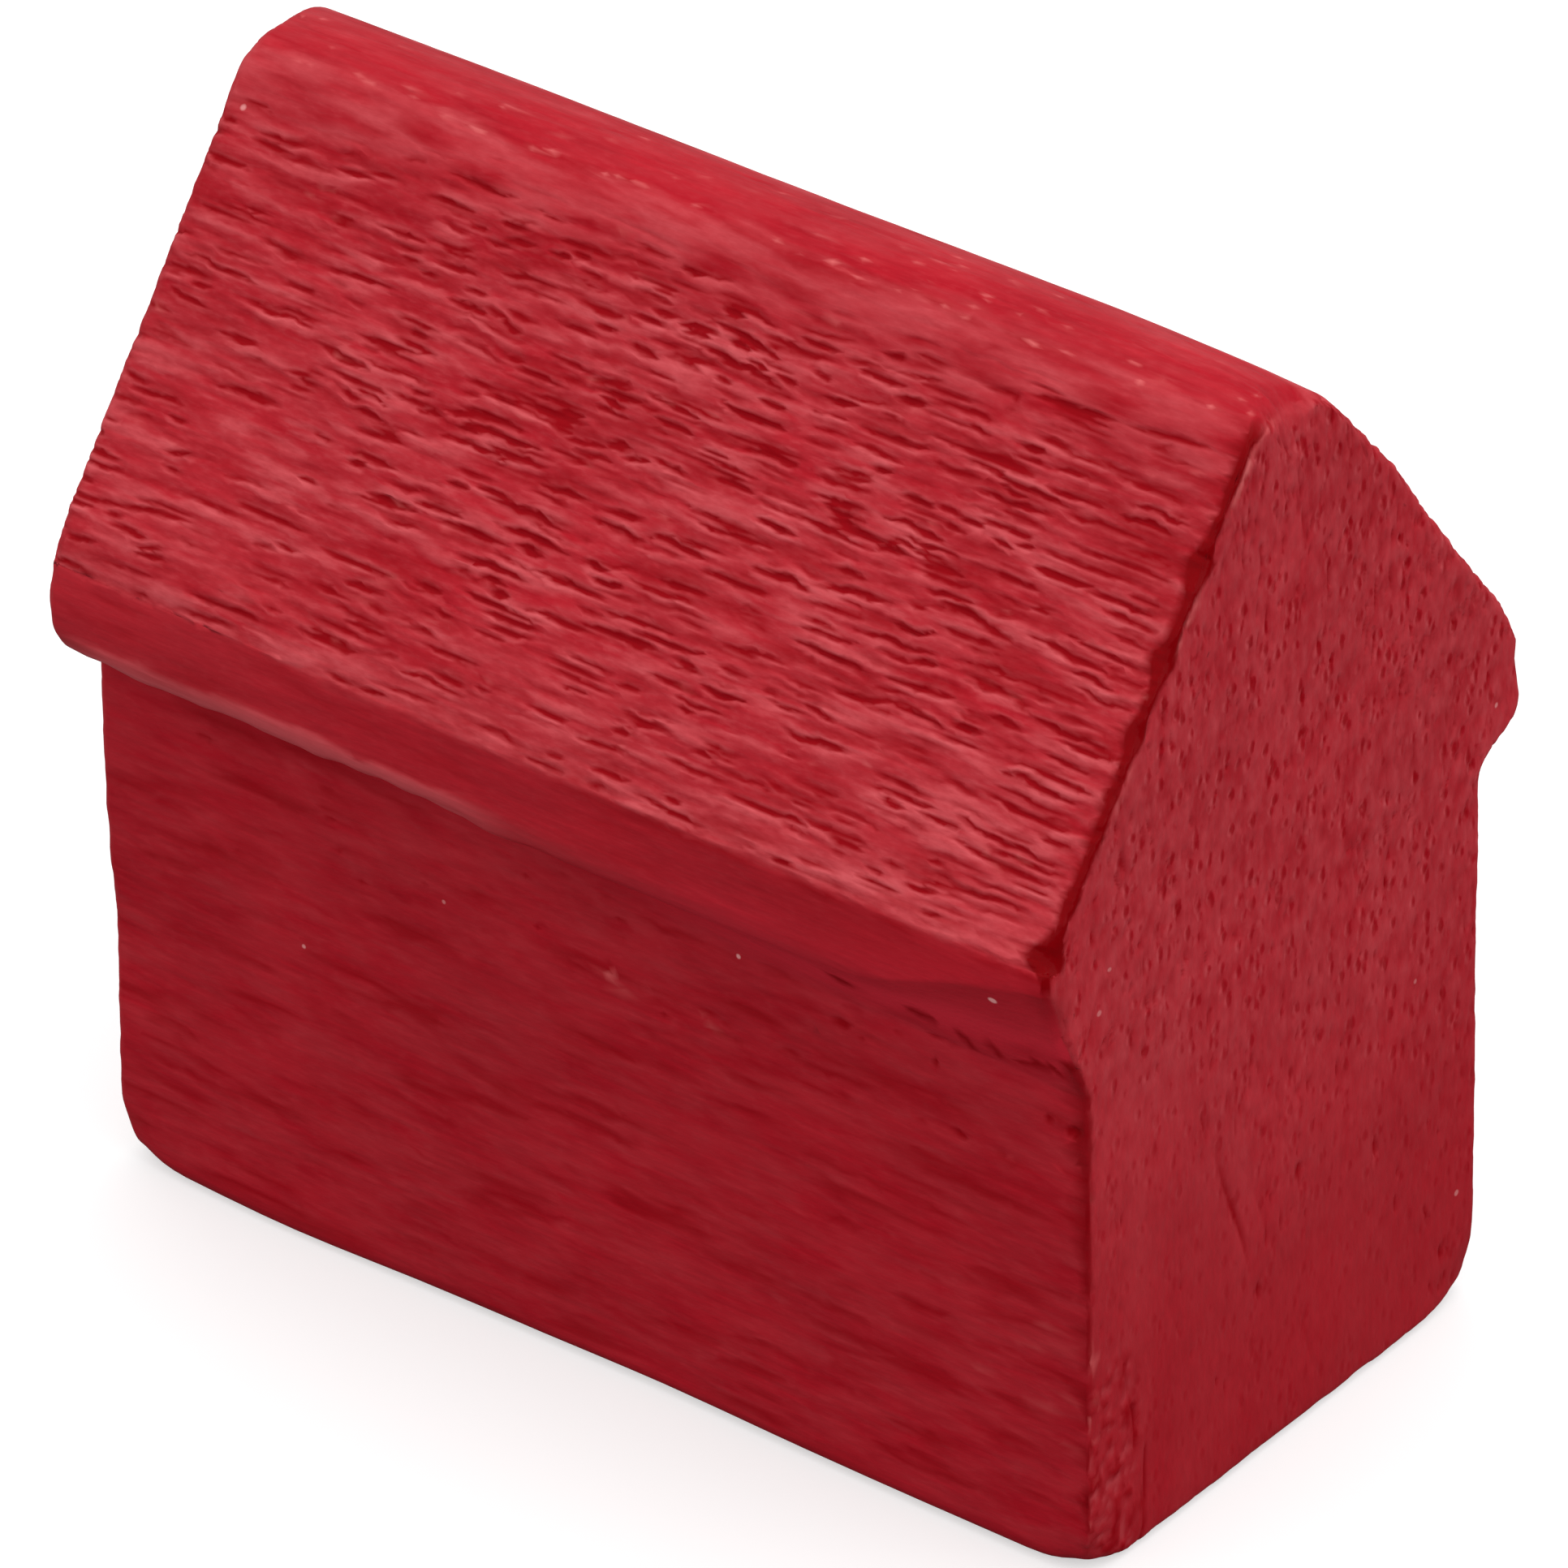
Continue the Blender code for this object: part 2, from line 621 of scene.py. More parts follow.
@dataclass(frozen=True)
class PaintFinish:
    """Red paint over open-grained wood: dark and glossy where it pooled, pale where it is rubbed. It also
    carries painted light: a painted sheen and highlights, painted shade and a brighter painted uplight.

    Scales are in waves per metre along X, Y and Z.
    """

    red: Triple = (0.395, 0.0075, 0.017)
    pooled: Triple = (0.205, 0.0002, 0.002)
    # Dark red of paint sunk into the grain, also used for painted shade in hollows and under the eave.
    sunk_and_shade: Triple = (0.285, 0.0010, 0.005)
    # Pale pink of rubbed paint, also used for a painted sheen and painted highlights.
    rubbed_and_sheen: Triple = (0.61, 0.090, 0.103)
    # Pale of flecks and scratches, also used for painted highlights along the near gable's edge.
    pale: Triple = (0.70, 0.14, 0.14)
    speck: Triple = (0.84, 0.36, 0.35)
    # A brighter red, painted over the shaded underside of the front eave as painted uplight.
    painted_uplight: Triple = (0.80, 0.034, 0.062)
    shade: Pair = (0.78, 1.22)
    shade_span: Pair = (0.30, 0.72)
    roughness: float = 0.34
    specular: float = 0.04
    bump_strength: float = 0.45
    bump_depth: float = 0.03 * MM
    side_streaks: Triple = (1000.0, 8000.0, 8000.0)
    gable_streaks: Triple = (2500.0, 11000.0, 3200.0)
    clouds: Triple = (220.0, 420.0, 420.0)
    side_grit: Triple = (4200.0, 12000.0, 12000.0)
    gable_grit: Triple = (5000.0, 4800.0, 2700.0)
    pit_scale: Triple = (400.0, 4100.0, 2500.0)
    pit_edge: float = 0.34
    pit_floor: float = 0.06
    # How far the painted highlights on the end-grain pits' lips lie from the pits, in pits.
    highlight_shift: float = 0.24

    def material(self, specks: list[tuple[Vector, float, float]]) -> bpy.types.Material:
        """Build the paint.

        Args:
            specks: Place, radius and paleness of each pale speck, in metres.

        Returns:
            A material that reads the skin's marks: sunk paint with painted shade, rubbed paint with painted
            sheen, pool, gable, open grain, flecks with painted highlights, and painted uplight.
        """
        material = bpy.data.materials.new("red_paint_on_wood")
        material.use_nodes = True
        nodes = PaintNodes(material.node_tree)
        shader = material.node_tree.nodes["Principled BSDF"]
        gable = nodes.attribute("gable")
        pool = nodes.attribute("pool")
        streak = nodes.blend(gable, nodes.streaks(self.side_streaks), nodes.streaks(self.gable_streaks))
        groove_and_shade, rub_and_sheen = self.wear(nodes, gable)

        colour = nodes.cover(self.coat(nodes, streak), rub_and_sheen, self.rubbed_and_sheen)
        colour = nodes.cover(colour, nodes.attribute("painted_uplight"), self.painted_uplight)
        colour = nodes.cover(colour, groove_and_shade, self.sunk_and_shade)
        colour = nodes.cover(colour, pool, self.pooled)
        colour = nodes.cover(colour, nodes.attribute("fleck_and_glint"), self.pale)
        for middle, radius, pale in specks:
            colour = nodes.cover(colour, nodes.spot(middle, radius, pale), self.speck)
        nodes.link(colour, shader.inputs["Base Color"])

        dull = nodes.total([(streak, 0.22), (groove_and_shade, 0.10), (pool, -0.32)], self.roughness)
        nodes.link(dull, shader.inputs["Roughness"])
        shader.inputs["Specular IOR Level"].default_value = self.specular

        dent = material.node_tree.nodes.new("ShaderNodeBump")
        dent.inputs["Strength"].default_value = self.bump_strength
        dent.inputs["Distance"].default_value = self.bump_depth
        nodes.link(streak, dent.inputs["Height"])
        nodes.link(dent.outputs["Normal"], shader.inputs["Normal"])
        return material

    def coat(self, nodes: PaintNodes, streak: Socket) -> Socket:
        """The plain red coat, a little uneven along the grain and in clouds.

        Args:
            nodes: The material's nodes.
            streak: The streaks of the grain.

        Returns:
            The coat's colour.
        """
        tone = nodes.total([(streak, 0.45), (nodes.streaks(self.clouds), 0.50)], 0.02)
        red = nodes.tree.nodes.new("ShaderNodeValToRGB")
        for stop, position, shade in zip(red.color_ramp.elements, self.shade_span, self.shade):
            stop.position = position
            stop.color = (*[shade * part for part in self.red], 1.0)
        nodes.link(tone, red.inputs["Fac"])
        return red.outputs["Color"]

    def wear(self, nodes: PaintNodes, gable: Socket) -> tuple[Socket, Socket]:
        """Add the grain that is too fine to carve to the marks of the skin.

        Args:
            nodes: The material's nodes.
            gable: How much a place belongs to a gable.

        Returns:
            How far the paint is darkened, by sunk paint and painted shade, and how far it is lightened, by
            rubbing, painted sheen and painted highlights.
        """
        open_grain = nodes.attribute("open")
        grit = nodes.blend(gable, nodes.streaks(self.side_grit), nodes.streaks(self.gable_grit))
        ridges = nodes.product(open_grain, nodes.above_zero(nodes.total([(grit, 2.4)], -1.2)))
        pores = nodes.product(open_grain, nodes.above_zero(nodes.total([(grit, -3.2)], 1.6)))
        # End-grain pits are darkened, partly as paint in them and partly as painted shade, and a copy
        # shifted to one side is lightened as painted highlights on their lips.
        open_end = nodes.product(open_grain, gable)
        pits = nodes.product(open_end, self.pits(nodes, grit, 0.0))
        lit_lips = nodes.product(open_end, self.pits(nodes, grit, self.highlight_shift))
        rub_and_sheen = nodes.total([(ridges, 1.0), (nodes.attribute("rub_and_sheen"), 1.0), (lit_lips, 1.5), (pits, -1.2)])
        groove_and_shade = nodes.total([(pores, 1.0), (nodes.attribute("groove_and_shade"), 1.0), (pits, 1.9)])
        return groove_and_shade, rub_and_sheen

    def pits(self, nodes: PaintNodes, rough: Socket, shift: float) -> Socket:
        """The small upright pits of end grain.

        Args:
            nodes: The material's nodes.
            rough: Noise that makes their outlines uneven.
            shift: How far to move all pits to one side, in pits.

        Returns:
            1 in the middle of a pit, falling off to 0 at its edge.
        """
        uneven = nodes.total([(nodes.cells(self.pit_scale, shift), 1.0), (rough, 1.1)], -0.55)
        return nodes.fall(uneven, self.pit_edge, self.pit_floor)


@dataclass(frozen=True)
class Landmarks:
    """Where one part of a side passes into the next, as spans along the half profile."""

    base_edge: Pair = (4.7, 5.4)
    wall_foot: Pair = (5.0, 5.6)
    wall_top: Pair = (14.2, 14.8)
    nose_foot: Pair = (15.4, 16.0)
    nose_top: Pair = (17.2, 17.5)
    roof_foot: Pair = (17.31, 17.48)
    roof_top: Pair = (24.8, 25.6)
    ridge_edge: Pair = (26.36, 26.50)


@dataclass
class SideParts:
    """How much of each part of the house lies at each place of the side skin, from 0 to 1."""

    front: np.ndarray   # the side towards the camera
    far: np.ndarray     # the end towards the far gable
    base: np.ndarray
    wall: np.ndarray
    nose: np.ndarray    # the round front of the eave
    roof: np.ndarray
    smooth: np.ndarray  # the band without pores between roof and ridge
    ridge: np.ndarray


@dataclass
class SideGrain:
    """The grain at each place of the side skin."""

    strength: np.ndarray  # how deep the dashes go here
    dashes: np.ndarray    # depth of the open grain
    lip: np.ndarray       # depth of the open grain right beside, whose edge stands up here
    fibre: np.ndarray     # short fibres
    strand: np.ndarray    # finer ones
    lines: np.ndarray     # long, narrow bands that run light and dark
    swath: np.ndarray     # broad bands
    swell: np.ndarray     # slow rise and fall of the surface
    streak: np.ndarray    # dark streaks on the wall and the eave
    bead: np.ndarray      # dried paint along the lower lip of the front eave
    flecks: np.ndarray    # pale flecks


@dataclass
class HouseBlock:
    """The block of wood: its skin, the grain carved into it and its coat of paint.

    A place on the side skin is given by x, along the house, and climb, the distance along the
    profile from the middle of the base, which is negative on the front. Its size is called reach.
    """

    profile: HouseProfile = HouseProfile()
    finish: PaintFinish = PaintFinish()
    landmarks: Landmarks = Landmarks()
    comb: Comb = Comb()
    length: float = 19.96         # from gable to gable
    seed: int = 20                # of all random draws
    roof_step: float = 0.045      # between points up the roof
    wall_step: float = 0.08       # between points up the wall
    along_step: float = 0.11      # between rings along the house
    end_step: float = 0.045       # between rings next to a gable
    cap_columns: int = 190        # columns of faces across a gable
    most_triangles: int = 196000
    map_margin: float = 0.45      # between the patches of the unrolled map
    base_split: float = 0.10      # height of the first row of a gable's faces
    ridge_split: float = 18.50    # height of the last one
    gable_tries: int = 4200       # dashes of end grain that are tried
    gable_height: float = 19.2
    heart: Triple = (0.0, 0.0, 9.0)  # worn corners move towards it
    digits: int = 6               # decimals kept of each place and mark, so that every run agrees
    fill: Triple = (14.10, 14.80, 15.85)  # reach where paint starts, bends and ends
    fill_rise: float = 1.15       # how much further up it ends at the near gable
    zones: tuple[GrainZone, ...] = (
        GrainZone(25.4, 27.1, 1.4, (0.3, 1.8), (0.05, 0.09), (0.008, 0.020), 0.6),
        GrainZone(15.9, 17.4, 1.0, (0.4, 1.8), (0.05, 0.09), (0.006, 0.016), 0.6),
        GrainZone(12.3, 14.4, 1.5, (0.12, 0.60), (0.06, 0.10), (0.014, 0.036), 0.7),
        GrainZone(5.4, 12.6, 1.4, (0.3, 2.4), (0.05, 0.10), (0.006, 0.022), 0.7),
        GrainZone(0.0, 5.0, 0.5, (0.5, 2.5), (0.06, 0.10), (0.006, 0.018), 0.6),
    )
    rows: tuple[PoreRows, ...] = (
        PoreRows(17.55, 25.55, (0.08, 0.19), 0.70, (0.45, 1.90), (0.080, 0.130), (0.020, 0.095)),
        PoreRows(17.50, 25.80, (0.16, 0.34), 1.30, (0.90, 2.80), (0.055, 0.080), (0.014, 0.044)),
    )
    fleck_bands: tuple[FleckBand, ...] = (
        FleckBand(34, 26.30, 26.50, 1.0, 0.1),
        FleckBand(42, 26.50, 27.50, 0.7, 0.1),
        FleckBand(70, 17.30, 26.20, 0.45, 0.5),
    )
    front_dashes: tuple[Dash, ...] = (
        Dash((5.94, 25.55), (7.75, 25.66), 0.15, 0.080),
        Dash((7.60, 25.66), (9.54, 25.75), 0.11, 0.050),
        Dash((5.70, 25.05), (5.92, 25.72), 0.09, 0.040),
        Dash((8.30, 25.40), (8.75, 25.62), 0.10, 0.040),
        Dash((5.30, 15.14), (5.86, 14.96), 0.45, 0.09),
        Dash((6.70, 14.88), (7.30, 14.90), 0.42, 0.09),
        Dash((4.94, 13.56), (5.46, 13.60), 0.16, 0.05),
        Dash((7.62, 14.45), (7.90, 14.52), 0.60, 0.09),
        Dash((6.90, 13.65), (7.10, 13.67), 0.18, 0.06),
        Dash((8.22, 14.48), (8.46, 14.54), 0.52, 0.09),
        Dash((8.58, 14.38), (9.10, 14.62), 0.28, 0.05),
        Dash((9.02, 14.60), (9.36, 14.80), 0.40, 0.08),
        Dash((9.40, 14.66), (9.60, 14.76), 0.45, 0.09),
        Dash((9.74, 14.92), (9.94, 15.08), 0.40, 0.08),
        Dash((9.14, 13.40), (9.30, 13.32), 0.20, 0.05),
        Dash((9.50, 13.27), (9.88, 13.40), 0.20, 0.08),
        Dash((7.28, 12.46), (7.68, 12.42), 0.16, 0.06),
        Dash((1.3, 9.48), (5.0, 9.32), 0.10, 0.012),
        Dash((5.7, 10.72), (8.9, 11.32), 0.10, 0.012),
        Dash((0.55, 10.38), (0.85, 10.08), 0.08, 0.03),
        Dash((2.5, 12.66), (2.7, 12.32), 0.08, 0.02),
    )
    scratches: tuple[Dash, ...] = (
        Dash((8.75, 9.55), (9.80, 9.50), 0.05, 0.32),
        Dash((8.95, 9.22), (9.85, 9.20), 0.05, 0.28),
        Dash((8.30, 9.10), (9.30, 9.05), 0.05, 0.20),
        Dash((8.90, 8.40), (9.80, 8.34), 0.05, 0.30),
        Dash((8.60, 8.05), (9.60, 8.00), 0.05, 0.22),
        Dash((9.10, 7.50), (9.85, 7.48), 0.05, 0.22),
        Dash((7.60, 8.20), (8.20, 8.16), 0.05, 0.20),
        Dash((0.42, 12.66), (0.80, 12.62), 0.09, 0.75),
        Dash((0.74, 12.64), (0.90, 12.44), 0.08, 0.65),
        Dash((2.42, 12.76), (2.52, 12.50), 0.08, 0.40),
        Dash((2.48, 12.54), (2.90, 12.40), 0.08, 0.40),
    )
    gable_dashes: tuple[Dash, ...] = (
        Dash((6.95, -2.10), (3.20, -0.80), 0.15, 0.040),
        Dash((7.20, -1.90), (2.60, 0.20), 0.13, 0.018),
        Dash((2.00, -3.74), (0.60, -3.72), 0.10, 0.055),
        Dash((4.30, -4.40), (2.00, -3.85), 0.08, 0.030),
        Dash((5.05, 0.32), (4.65, 0.34), 0.13, 0.060),
        Dash((6.55, 0.54), (6.15, 0.52), 0.10, 0.045),
        Dash((7.05, 0.06), (6.55, 0.10), 0.10, 0.040),
        Dash((4.45, 2.29), (4.00, 2.31), 0.12, 0.050),
        Dash((3.35, -0.74), (2.95, -0.72), 0.12, 0.045),
        Dash((1.40, 4.13), (1.00, 4.15), 0.12, 0.050),
        Dash((2.60, 0.29), (0.60, 0.77), 0.13, 0.026),
        Dash((7.60, -2.30), (6.60, -2.10), 0.09, 0.035),
    )
    roof_chips: tuple[EdgeChip, ...] = (
        EdgeChip(24.05, 0.34, 0.20),
        EdgeChip(22.50, 0.28, 0.18),
        EdgeChip(21.35, 0.22, 0.14),
        EdgeChip(20.35, 0.16, 0.06),
        EdgeChip(18.65, 0.18, 0.05),
        EdgeChip(17.70, 0.30, 0.34),
    )
    worn: tuple[WornCorner, ...] = (
        WornCorner((-9.98, -5.15, 0.0), 0.32, 0.75),
        WornCorner((9.98, 5.15, 0.0), 0.24, 0.75),
        WornCorner((9.98, -5.15, 0.0), 0.29, 0.65),
        WornCorner((-9.98, 5.15, 0.0), 0.26, 0.70),
        WornCorner((9.98, 0.3, 19.0), 0.20, 0.80),
        WornCorner((-9.98, 0.0, 19.13), 0.10, 0.70),
        WornCorner((-9.98, -5.15, 4.2), 0.09, 1.80),
        WornCorner((-9.98, -6.10, 10.2), 0.11, 0.55),
        WornCorner((-9.98, 6.28, 11.2), 0.10, 0.60),
        WornCorner((9.98, 6.28, 11.2), 0.06, 0.60),
    )
    side_specks: tuple[Speck, ...] = (
        Speck((8.86, 16.46), 0.090, 1.0),
        Speck((3.18, 14.04), 0.055, 0.8),
        Speck((-5.74, 10.72), 0.050, 0.6),
        Speck((-9.50, 25.31), 0.075, 0.6),
        Speck((9.90, 17.36), 0.065, 0.8),
        Speck((-2.78, 12.72), 0.050, 0.4),
    )
    gable_specks: tuple[Speck, ...] = (
        Speck((-4.58, 11.18), 0.050, 0.35),
        Speck((-4.84, 10.52), 0.065, 0.35),
        Speck((5.47, 10.85), 0.060, 0.5),
        Speck((4.53, 2.14), 0.065, 0.4),
        Speck((3.37, 6.78), 0.055, 0.3),
    )

    def __post_init__(self) -> None:
        """Measure the profile and press the grain once, so that every method can read them."""
        self.half = self.profile.half()
        gaps = np.linalg.norm(np.diff(self.half, axis=0), axis=1)
        self.climbs = np.concatenate([[0.0], np.cumsum(gaps)])
        self.top = float(self.climbs[-1])
        steps = np.gradient(self.half, self.climbs, axis=0)
        self.normals = np.stack([steps[:, 1], -steps[:, 0]], axis=1)
        self.rng = np.random.default_rng(self.seed)
        self.side_map = self.press_sides()
        self.fleck_map = self.press_flecks()
        self.gable_maps = {end: self.press_gable(end) for end in End}

    def climb_at(self, z: float) -> float:
        """How far along the profile a height on the side lies."""
        side = self.half[:, 1] > 1e-6
        return float(np.interp(z, self.half[side, 1], self.climbs[side]))

    def around(self, climb: np.ndarray) -> np.ndarray:
        """Count signed distances along the profile once round it, up the back and down the front."""
        return np.where(climb >= 0, climb, 2 * self.top + climb)

    def girth_place(self, climb: float, side: Side) -> float:
        """Where a distance up one side lies on a map of the whole girth."""
        return float(self.around(np.array(side.value * climb)))

    def girth_map(self) -> ReliefMap:
        """An empty map of the whole girth, by X and by the distance round the profile."""
        return ReliefMap((-10.1, -0.2), (10.1, 2 * self.top + 0.2), (0.04, 0.02))

    def press_sides(self) -> ReliefMap:
        """Press the grain that runs along the house into one map of its whole girth.

        Returns:
            Depths, in millimetres.
        """
        grain = self.girth_map()
        for side in Side:
            for zone in self.zones:
                self.scatter(grain, zone, side)
            for rows in self.rows:
                self.press_rows(grain, rows, side)
        self.press_front(grain, self.front_dashes)
        self.press_comb(grain)
        return grain

    def press_flecks(self) -> ReliefMap:
        """Press the pale flecks of the front: on the ridge, along its lower edge and over the roof.

        Returns:
            Strengths, from 0 to 1.
        """
        flecks = self.girth_map()
        for band in self.fleck_bands:
            for _ in range(band.count):
                x = self.rng.uniform(-9.8, 9.8)
                place = 2 * self.top - self.rng.uniform(band.start, band.end)
                length = self.rng.uniform(0.08, 0.34)
                width = self.rng.uniform(0.05, 0.09)
                pale = band.pale * self.rng.uniform(0.3, 1.0)
                flecks.press(x, place, length, width, pale, self.rng.normal(0.0, band.turn))
        self.press_front(flecks, self.scratches)
        return flecks

    def press_front(self, grain: ReliefMap, marks: tuple[Dash, ...]) -> None:
        """Press listed marks on the front.

        Args:
            grain: The map of the whole girth to press into.
            marks: The marks, by x and reach.
        """
        for mark in marks:
            start = (mark.start[0], 2 * self.top - mark.start[1])
            end = (mark.end[0], 2 * self.top - mark.end[1])
            self.press_mark(grain, start, end, mark)

    def scatter(self, grain: ReliefMap, zone: GrainZone, side: Side) -> None:
        """Scatter the dashes of one stretch, in clusters, denser and longer towards the near eave.

        Args:
            grain: The map to press into.
            zone: The stretch and its dashes.
            side: The long side that it lies on.
        """
        tries = int(2.2 * zone.density * (zone.end - zone.start) * self.length)
        for _ in range(tries):
            x = self.rng.uniform(-self.length / 2, self.length / 2)
            climb = self.rng.uniform(zone.start, zone.end)
            place = self.girth_place(climb, side)
            crowd = float(smooth_noise(np.array(x / 2.6), np.array(place / 0.9), 5))
            lean = 0.16 * x / self.length * 2 - 0.10 * (climb - zone.start) / (zone.end - zone.start)
            if self.rng.random() > 0.47 + zone.cluster * crowd + lean:
                continue
            size = self.rng.random() ** 1.6
            length = zone.length[0] + (zone.length[1] - zone.length[0]) * size
            width = self.rng.uniform(*zone.width) * (0.8 + 0.35 * size)
            depth = self.rng.uniform(*zone.depth)
            turn = self.rng.normal(0.0, 0.045)
            grain.press(x, place, length, width, depth, turn)
            if self.rng.random() < 0.4:
                # Some dashes go on in a shorter one, a little to one side.
                kink = self.rng.uniform(-0.09, 0.09)
                grain.press(x + length * 0.55, place + kink, length * 0.6, width, depth * 0.9, turn * 2)

    def press_rows(self, grain: ReliefMap, rows: PoreRows, side: Side) -> None:
        """Press rows of pores along the grain, each a broken line, shallower towards the near gable.

        Args:
            grain: The map to press into.
            rows: Where the rows lie and the sizes of their pores.
            side: The long side that they lie on.
        """
        shallow_from = 7.8
        shallow = 0.45
        climb = rows.start
        while climb < rows.end:
            place = self.girth_place(climb, side)
            x = -self.length / 2 - self.rng.uniform(0.0, rows.length[1])
            while x < self.length / 2:
                crowd = float(smooth_noise(np.array(x / 2.4), np.array(place / 0.8), 5))
                x += self.rng.exponential(rows.gap) * max(0.2, 1.0 - 0.75 * crowd - 0.03 * x)
                length = rows.length[0] + (rows.length[1] - rows.length[0]) * self.rng.random() ** 1.7
                width = self.rng.uniform(*rows.width)
                depth = rows.depth[0] + (rows.depth[1] - rows.depth[0]) * self.rng.random() ** 1.3
                middle = x + length / 2
                depth *= shallow if middle > shallow_from else 1.0
                shift = self.rng.normal(0.0, 0.02)
                grain.press(middle, place + shift, length, width, depth, self.rng.normal(0.0, 0.035))
                x += length
            climb += self.rng.uniform(*rows.spacing)

    def press_comb(self, grain: ReliefMap) -> None:
        """Press the torn grooves beside the near gable.

        Args:
            grain: The map of the whole girth to press into.
        """
        comb = self.comb
        climb = comb.start
        while climb < comb.end:
            climb += self.rng.uniform(*comb.spacing)
            length = self.rng.uniform(*comb.length)
            setback = self.rng.uniform(*comb.setback)
            x = self.length / 2 - setback - length / 2
            depth = self.rng.uniform(*comb.depth)
            width = self.rng.uniform(*comb.width)
            grain.press(x, self.girth_place(climb, Side.FRONT), length, width, depth, comb.turn)

    @staticmethod
    def press_mark(grain: ReliefMap, start: Pair, end: Pair,
                   mark: Dash) -> None:
        """Press one listed mark.

        Args:
            grain: The map to press into.
            start: Where the mark starts on the map.
            end: Where it ends.
            mark: Its width and depth.
        """
        along = end[0] - start[0]
        across = end[1] - start[1]
        turn = np.arctan(across / along)
        middle = ((start[0] + end[0]) / 2, (start[1] + end[1]) / 2)
        grain.press(*middle, float(np.hypot(along, across)), mark.width, mark.depth, float(turn))

    def press_gable(self, end: End) -> ReliefMap:
        """Press the short upright end grain of one gable.

        Args:
            end: Which gable.

        Returns:
            Depths by Z, along the dashes, and Y, across them.
        """
        grain = ReliefMap((-0.2, -6.5), (19.4, 6.5), (0.03, 0.02))
        for _ in range(self.gable_tries):
            z = self.rng.uniform(0.0, self.gable_height)
            y = self.rng.uniform(-self.profile.nose.y, self.profile.nose.y)
            crowd = float(smooth_noise(np.array(y / 1.6), np.array(z / 2.6), 40 + end.value))
            if self.rng.random() > 0.36 + 0.30 * crowd + 0.03 * y + 0.045 * (z - self.gable_height / 2):
                continue
            length = 0.18 + 0.50 * self.rng.random() ** 1.6
            width = self.rng.uniform(0.05, 0.09)
            grain.press(z, y, length, width, self.rng.uniform(0.012, 0.040), self.rng.normal(0.0, 0.14))
        if end is End.NEAR:
            for mark in self.gable_dashes:
                self.press_mark(grain, mark.start, mark.end, mark)
        return grain

    def ring_climbs(self) -> tuple[np.ndarray, int]:
        """Choose where the profile gets its points.

        Returns:
            Distances along one side, from the middle of the base to the ridge, and how many of
            them lie on the base up to the middle of its rounded corner.
        """
        columns = self.cap_columns // 2
        base_end = self.climb_at(self.base_split)
        ridge_start = self.climb_at(self.ridge_split)
        wall_end = 9.3
        eave_end = 11.2
        z = self.half[:, 1]
        step = np.where(z < wall_end, self.wall_step, self.roof_step)
        step = np.where((z > wall_end) & (z < eave_end), self.wall_step * 0.8, step)
        weight = np.concatenate([[0.0], np.cumsum(np.diff(self.climbs) / step[1:])])
        first, last = np.interp([base_end, ridge_start], self.climbs, weight)
        count = ceil(last - first)
        side = np.interp(np.linspace(first, last, count + 1), weight, self.climbs)
        base = np.linspace(0.0, base_end, columns + 1)
        ridge = np.linspace(ridge_start, self.top, columns + 1)
        return np.concatenate([base, side[1:], ridge[1:]]), columns

    def stations(self) -> np.ndarray:
        """Places along X that get a ring of points, closer together at both ends.

        Returns:
            The places, from the far gable to the near one.
        """
        samples = 4001
        fine = np.linspace(-self.length / 2, self.length / 2, samples)
        room = self.length / 2 - np.abs(fine)
        step = self.end_step + (self.along_step - self.end_step) * ramp(room, 0.3, 1.1)
        weight = np.concatenate([[0.0], np.cumsum(np.diff(fine) / step[1:])])
        return np.interp(np.linspace(0.0, weight[-1], ceil(weight[-1]) + 1), weight, fine)

    def skin(self) -> bmesh.types.BMesh:
        """Extrude the profile from gable to gable, close both gables and cut the skin into rings.

        Returns:
            A closed mesh in millimetres, whose vertex layer tells which points lie inside a gable.
        """
        side, columns = self.ring_climbs()
        self.ring = np.concatenate([side, -side[-2:0:-1]])
        xs = self.stations()
        skin = bmesh.new()
        skin.verts.layers.int.new("inside")
        far = [skin.verts.new((xs[0], y, z)) for y, z in self.outline(self.ring)]
        loop = [skin.edges.new(pair) for pair in zip(far, far[1:] + far[:1])]
        grown = bmesh.ops.extrude_edge_only(skin, edges=loop)["geom"]
        for item in grown:
            if isinstance(item, bmesh.types.BMVert):
                item.co.x = xs[-1]
        skin.verts.index_update()
        near = [self.partner(point).index for point in far]
        for rim in (list(range(len(far))), near):
            self.close_gable(skin, rim, len(side), columns)
        skin.verts.ensure_lookup_table()
        lengths = [skin.edges.get((skin.verts[a], skin.verts[b])) for a, b in enumerate(near)]
        bmesh.ops.subdivide_edges(skin, edges=lengths, cuts=len(xs) - 2)
        inside = skin.verts.layers.int["inside"]
        for point in skin.verts:
            if not point[inside]:
                point.co.x = xs[round((point.co.x / self.length + 0.5) * (len(xs) - 1))]
        bmesh.ops.recalc_face_normals(skin, faces=skin.faces)
        self.put_in_order(skin)
        return skin

    @staticmethod
    def put_in_order(skin: bmesh.types.BMesh) -> None:
        """Sort the skin by place, because the operators leave it in another order each run.

        The thinning goes by that order, so no two runs would otherwise give quite the same mesh.

        Args:
            skin: The closed skin.
        """
        # X counts first. The odd weight of Y keeps any two places from coming out equal.
        weights = Vector((1e6, 1234.567, 1.0))
        skin.verts.sort(key=lambda point: point.co.dot(weights))
        skin.edges.sort(key=lambda edge: (edge.verts[0].co + edge.verts[1].co).dot(weights))
        skin.faces.sort(key=lambda face: face.calc_center_median().dot(weights))

    @staticmethod
    def partner(point: bmesh.types.BMVert) -> bmesh.types.BMVert:
        """The point at the other gable that a point was extruded to."""
        ends = [edge.other_vert(point) for edge in point.link_edges]
        return next(end for end in ends if end.co.x != point.co.x)

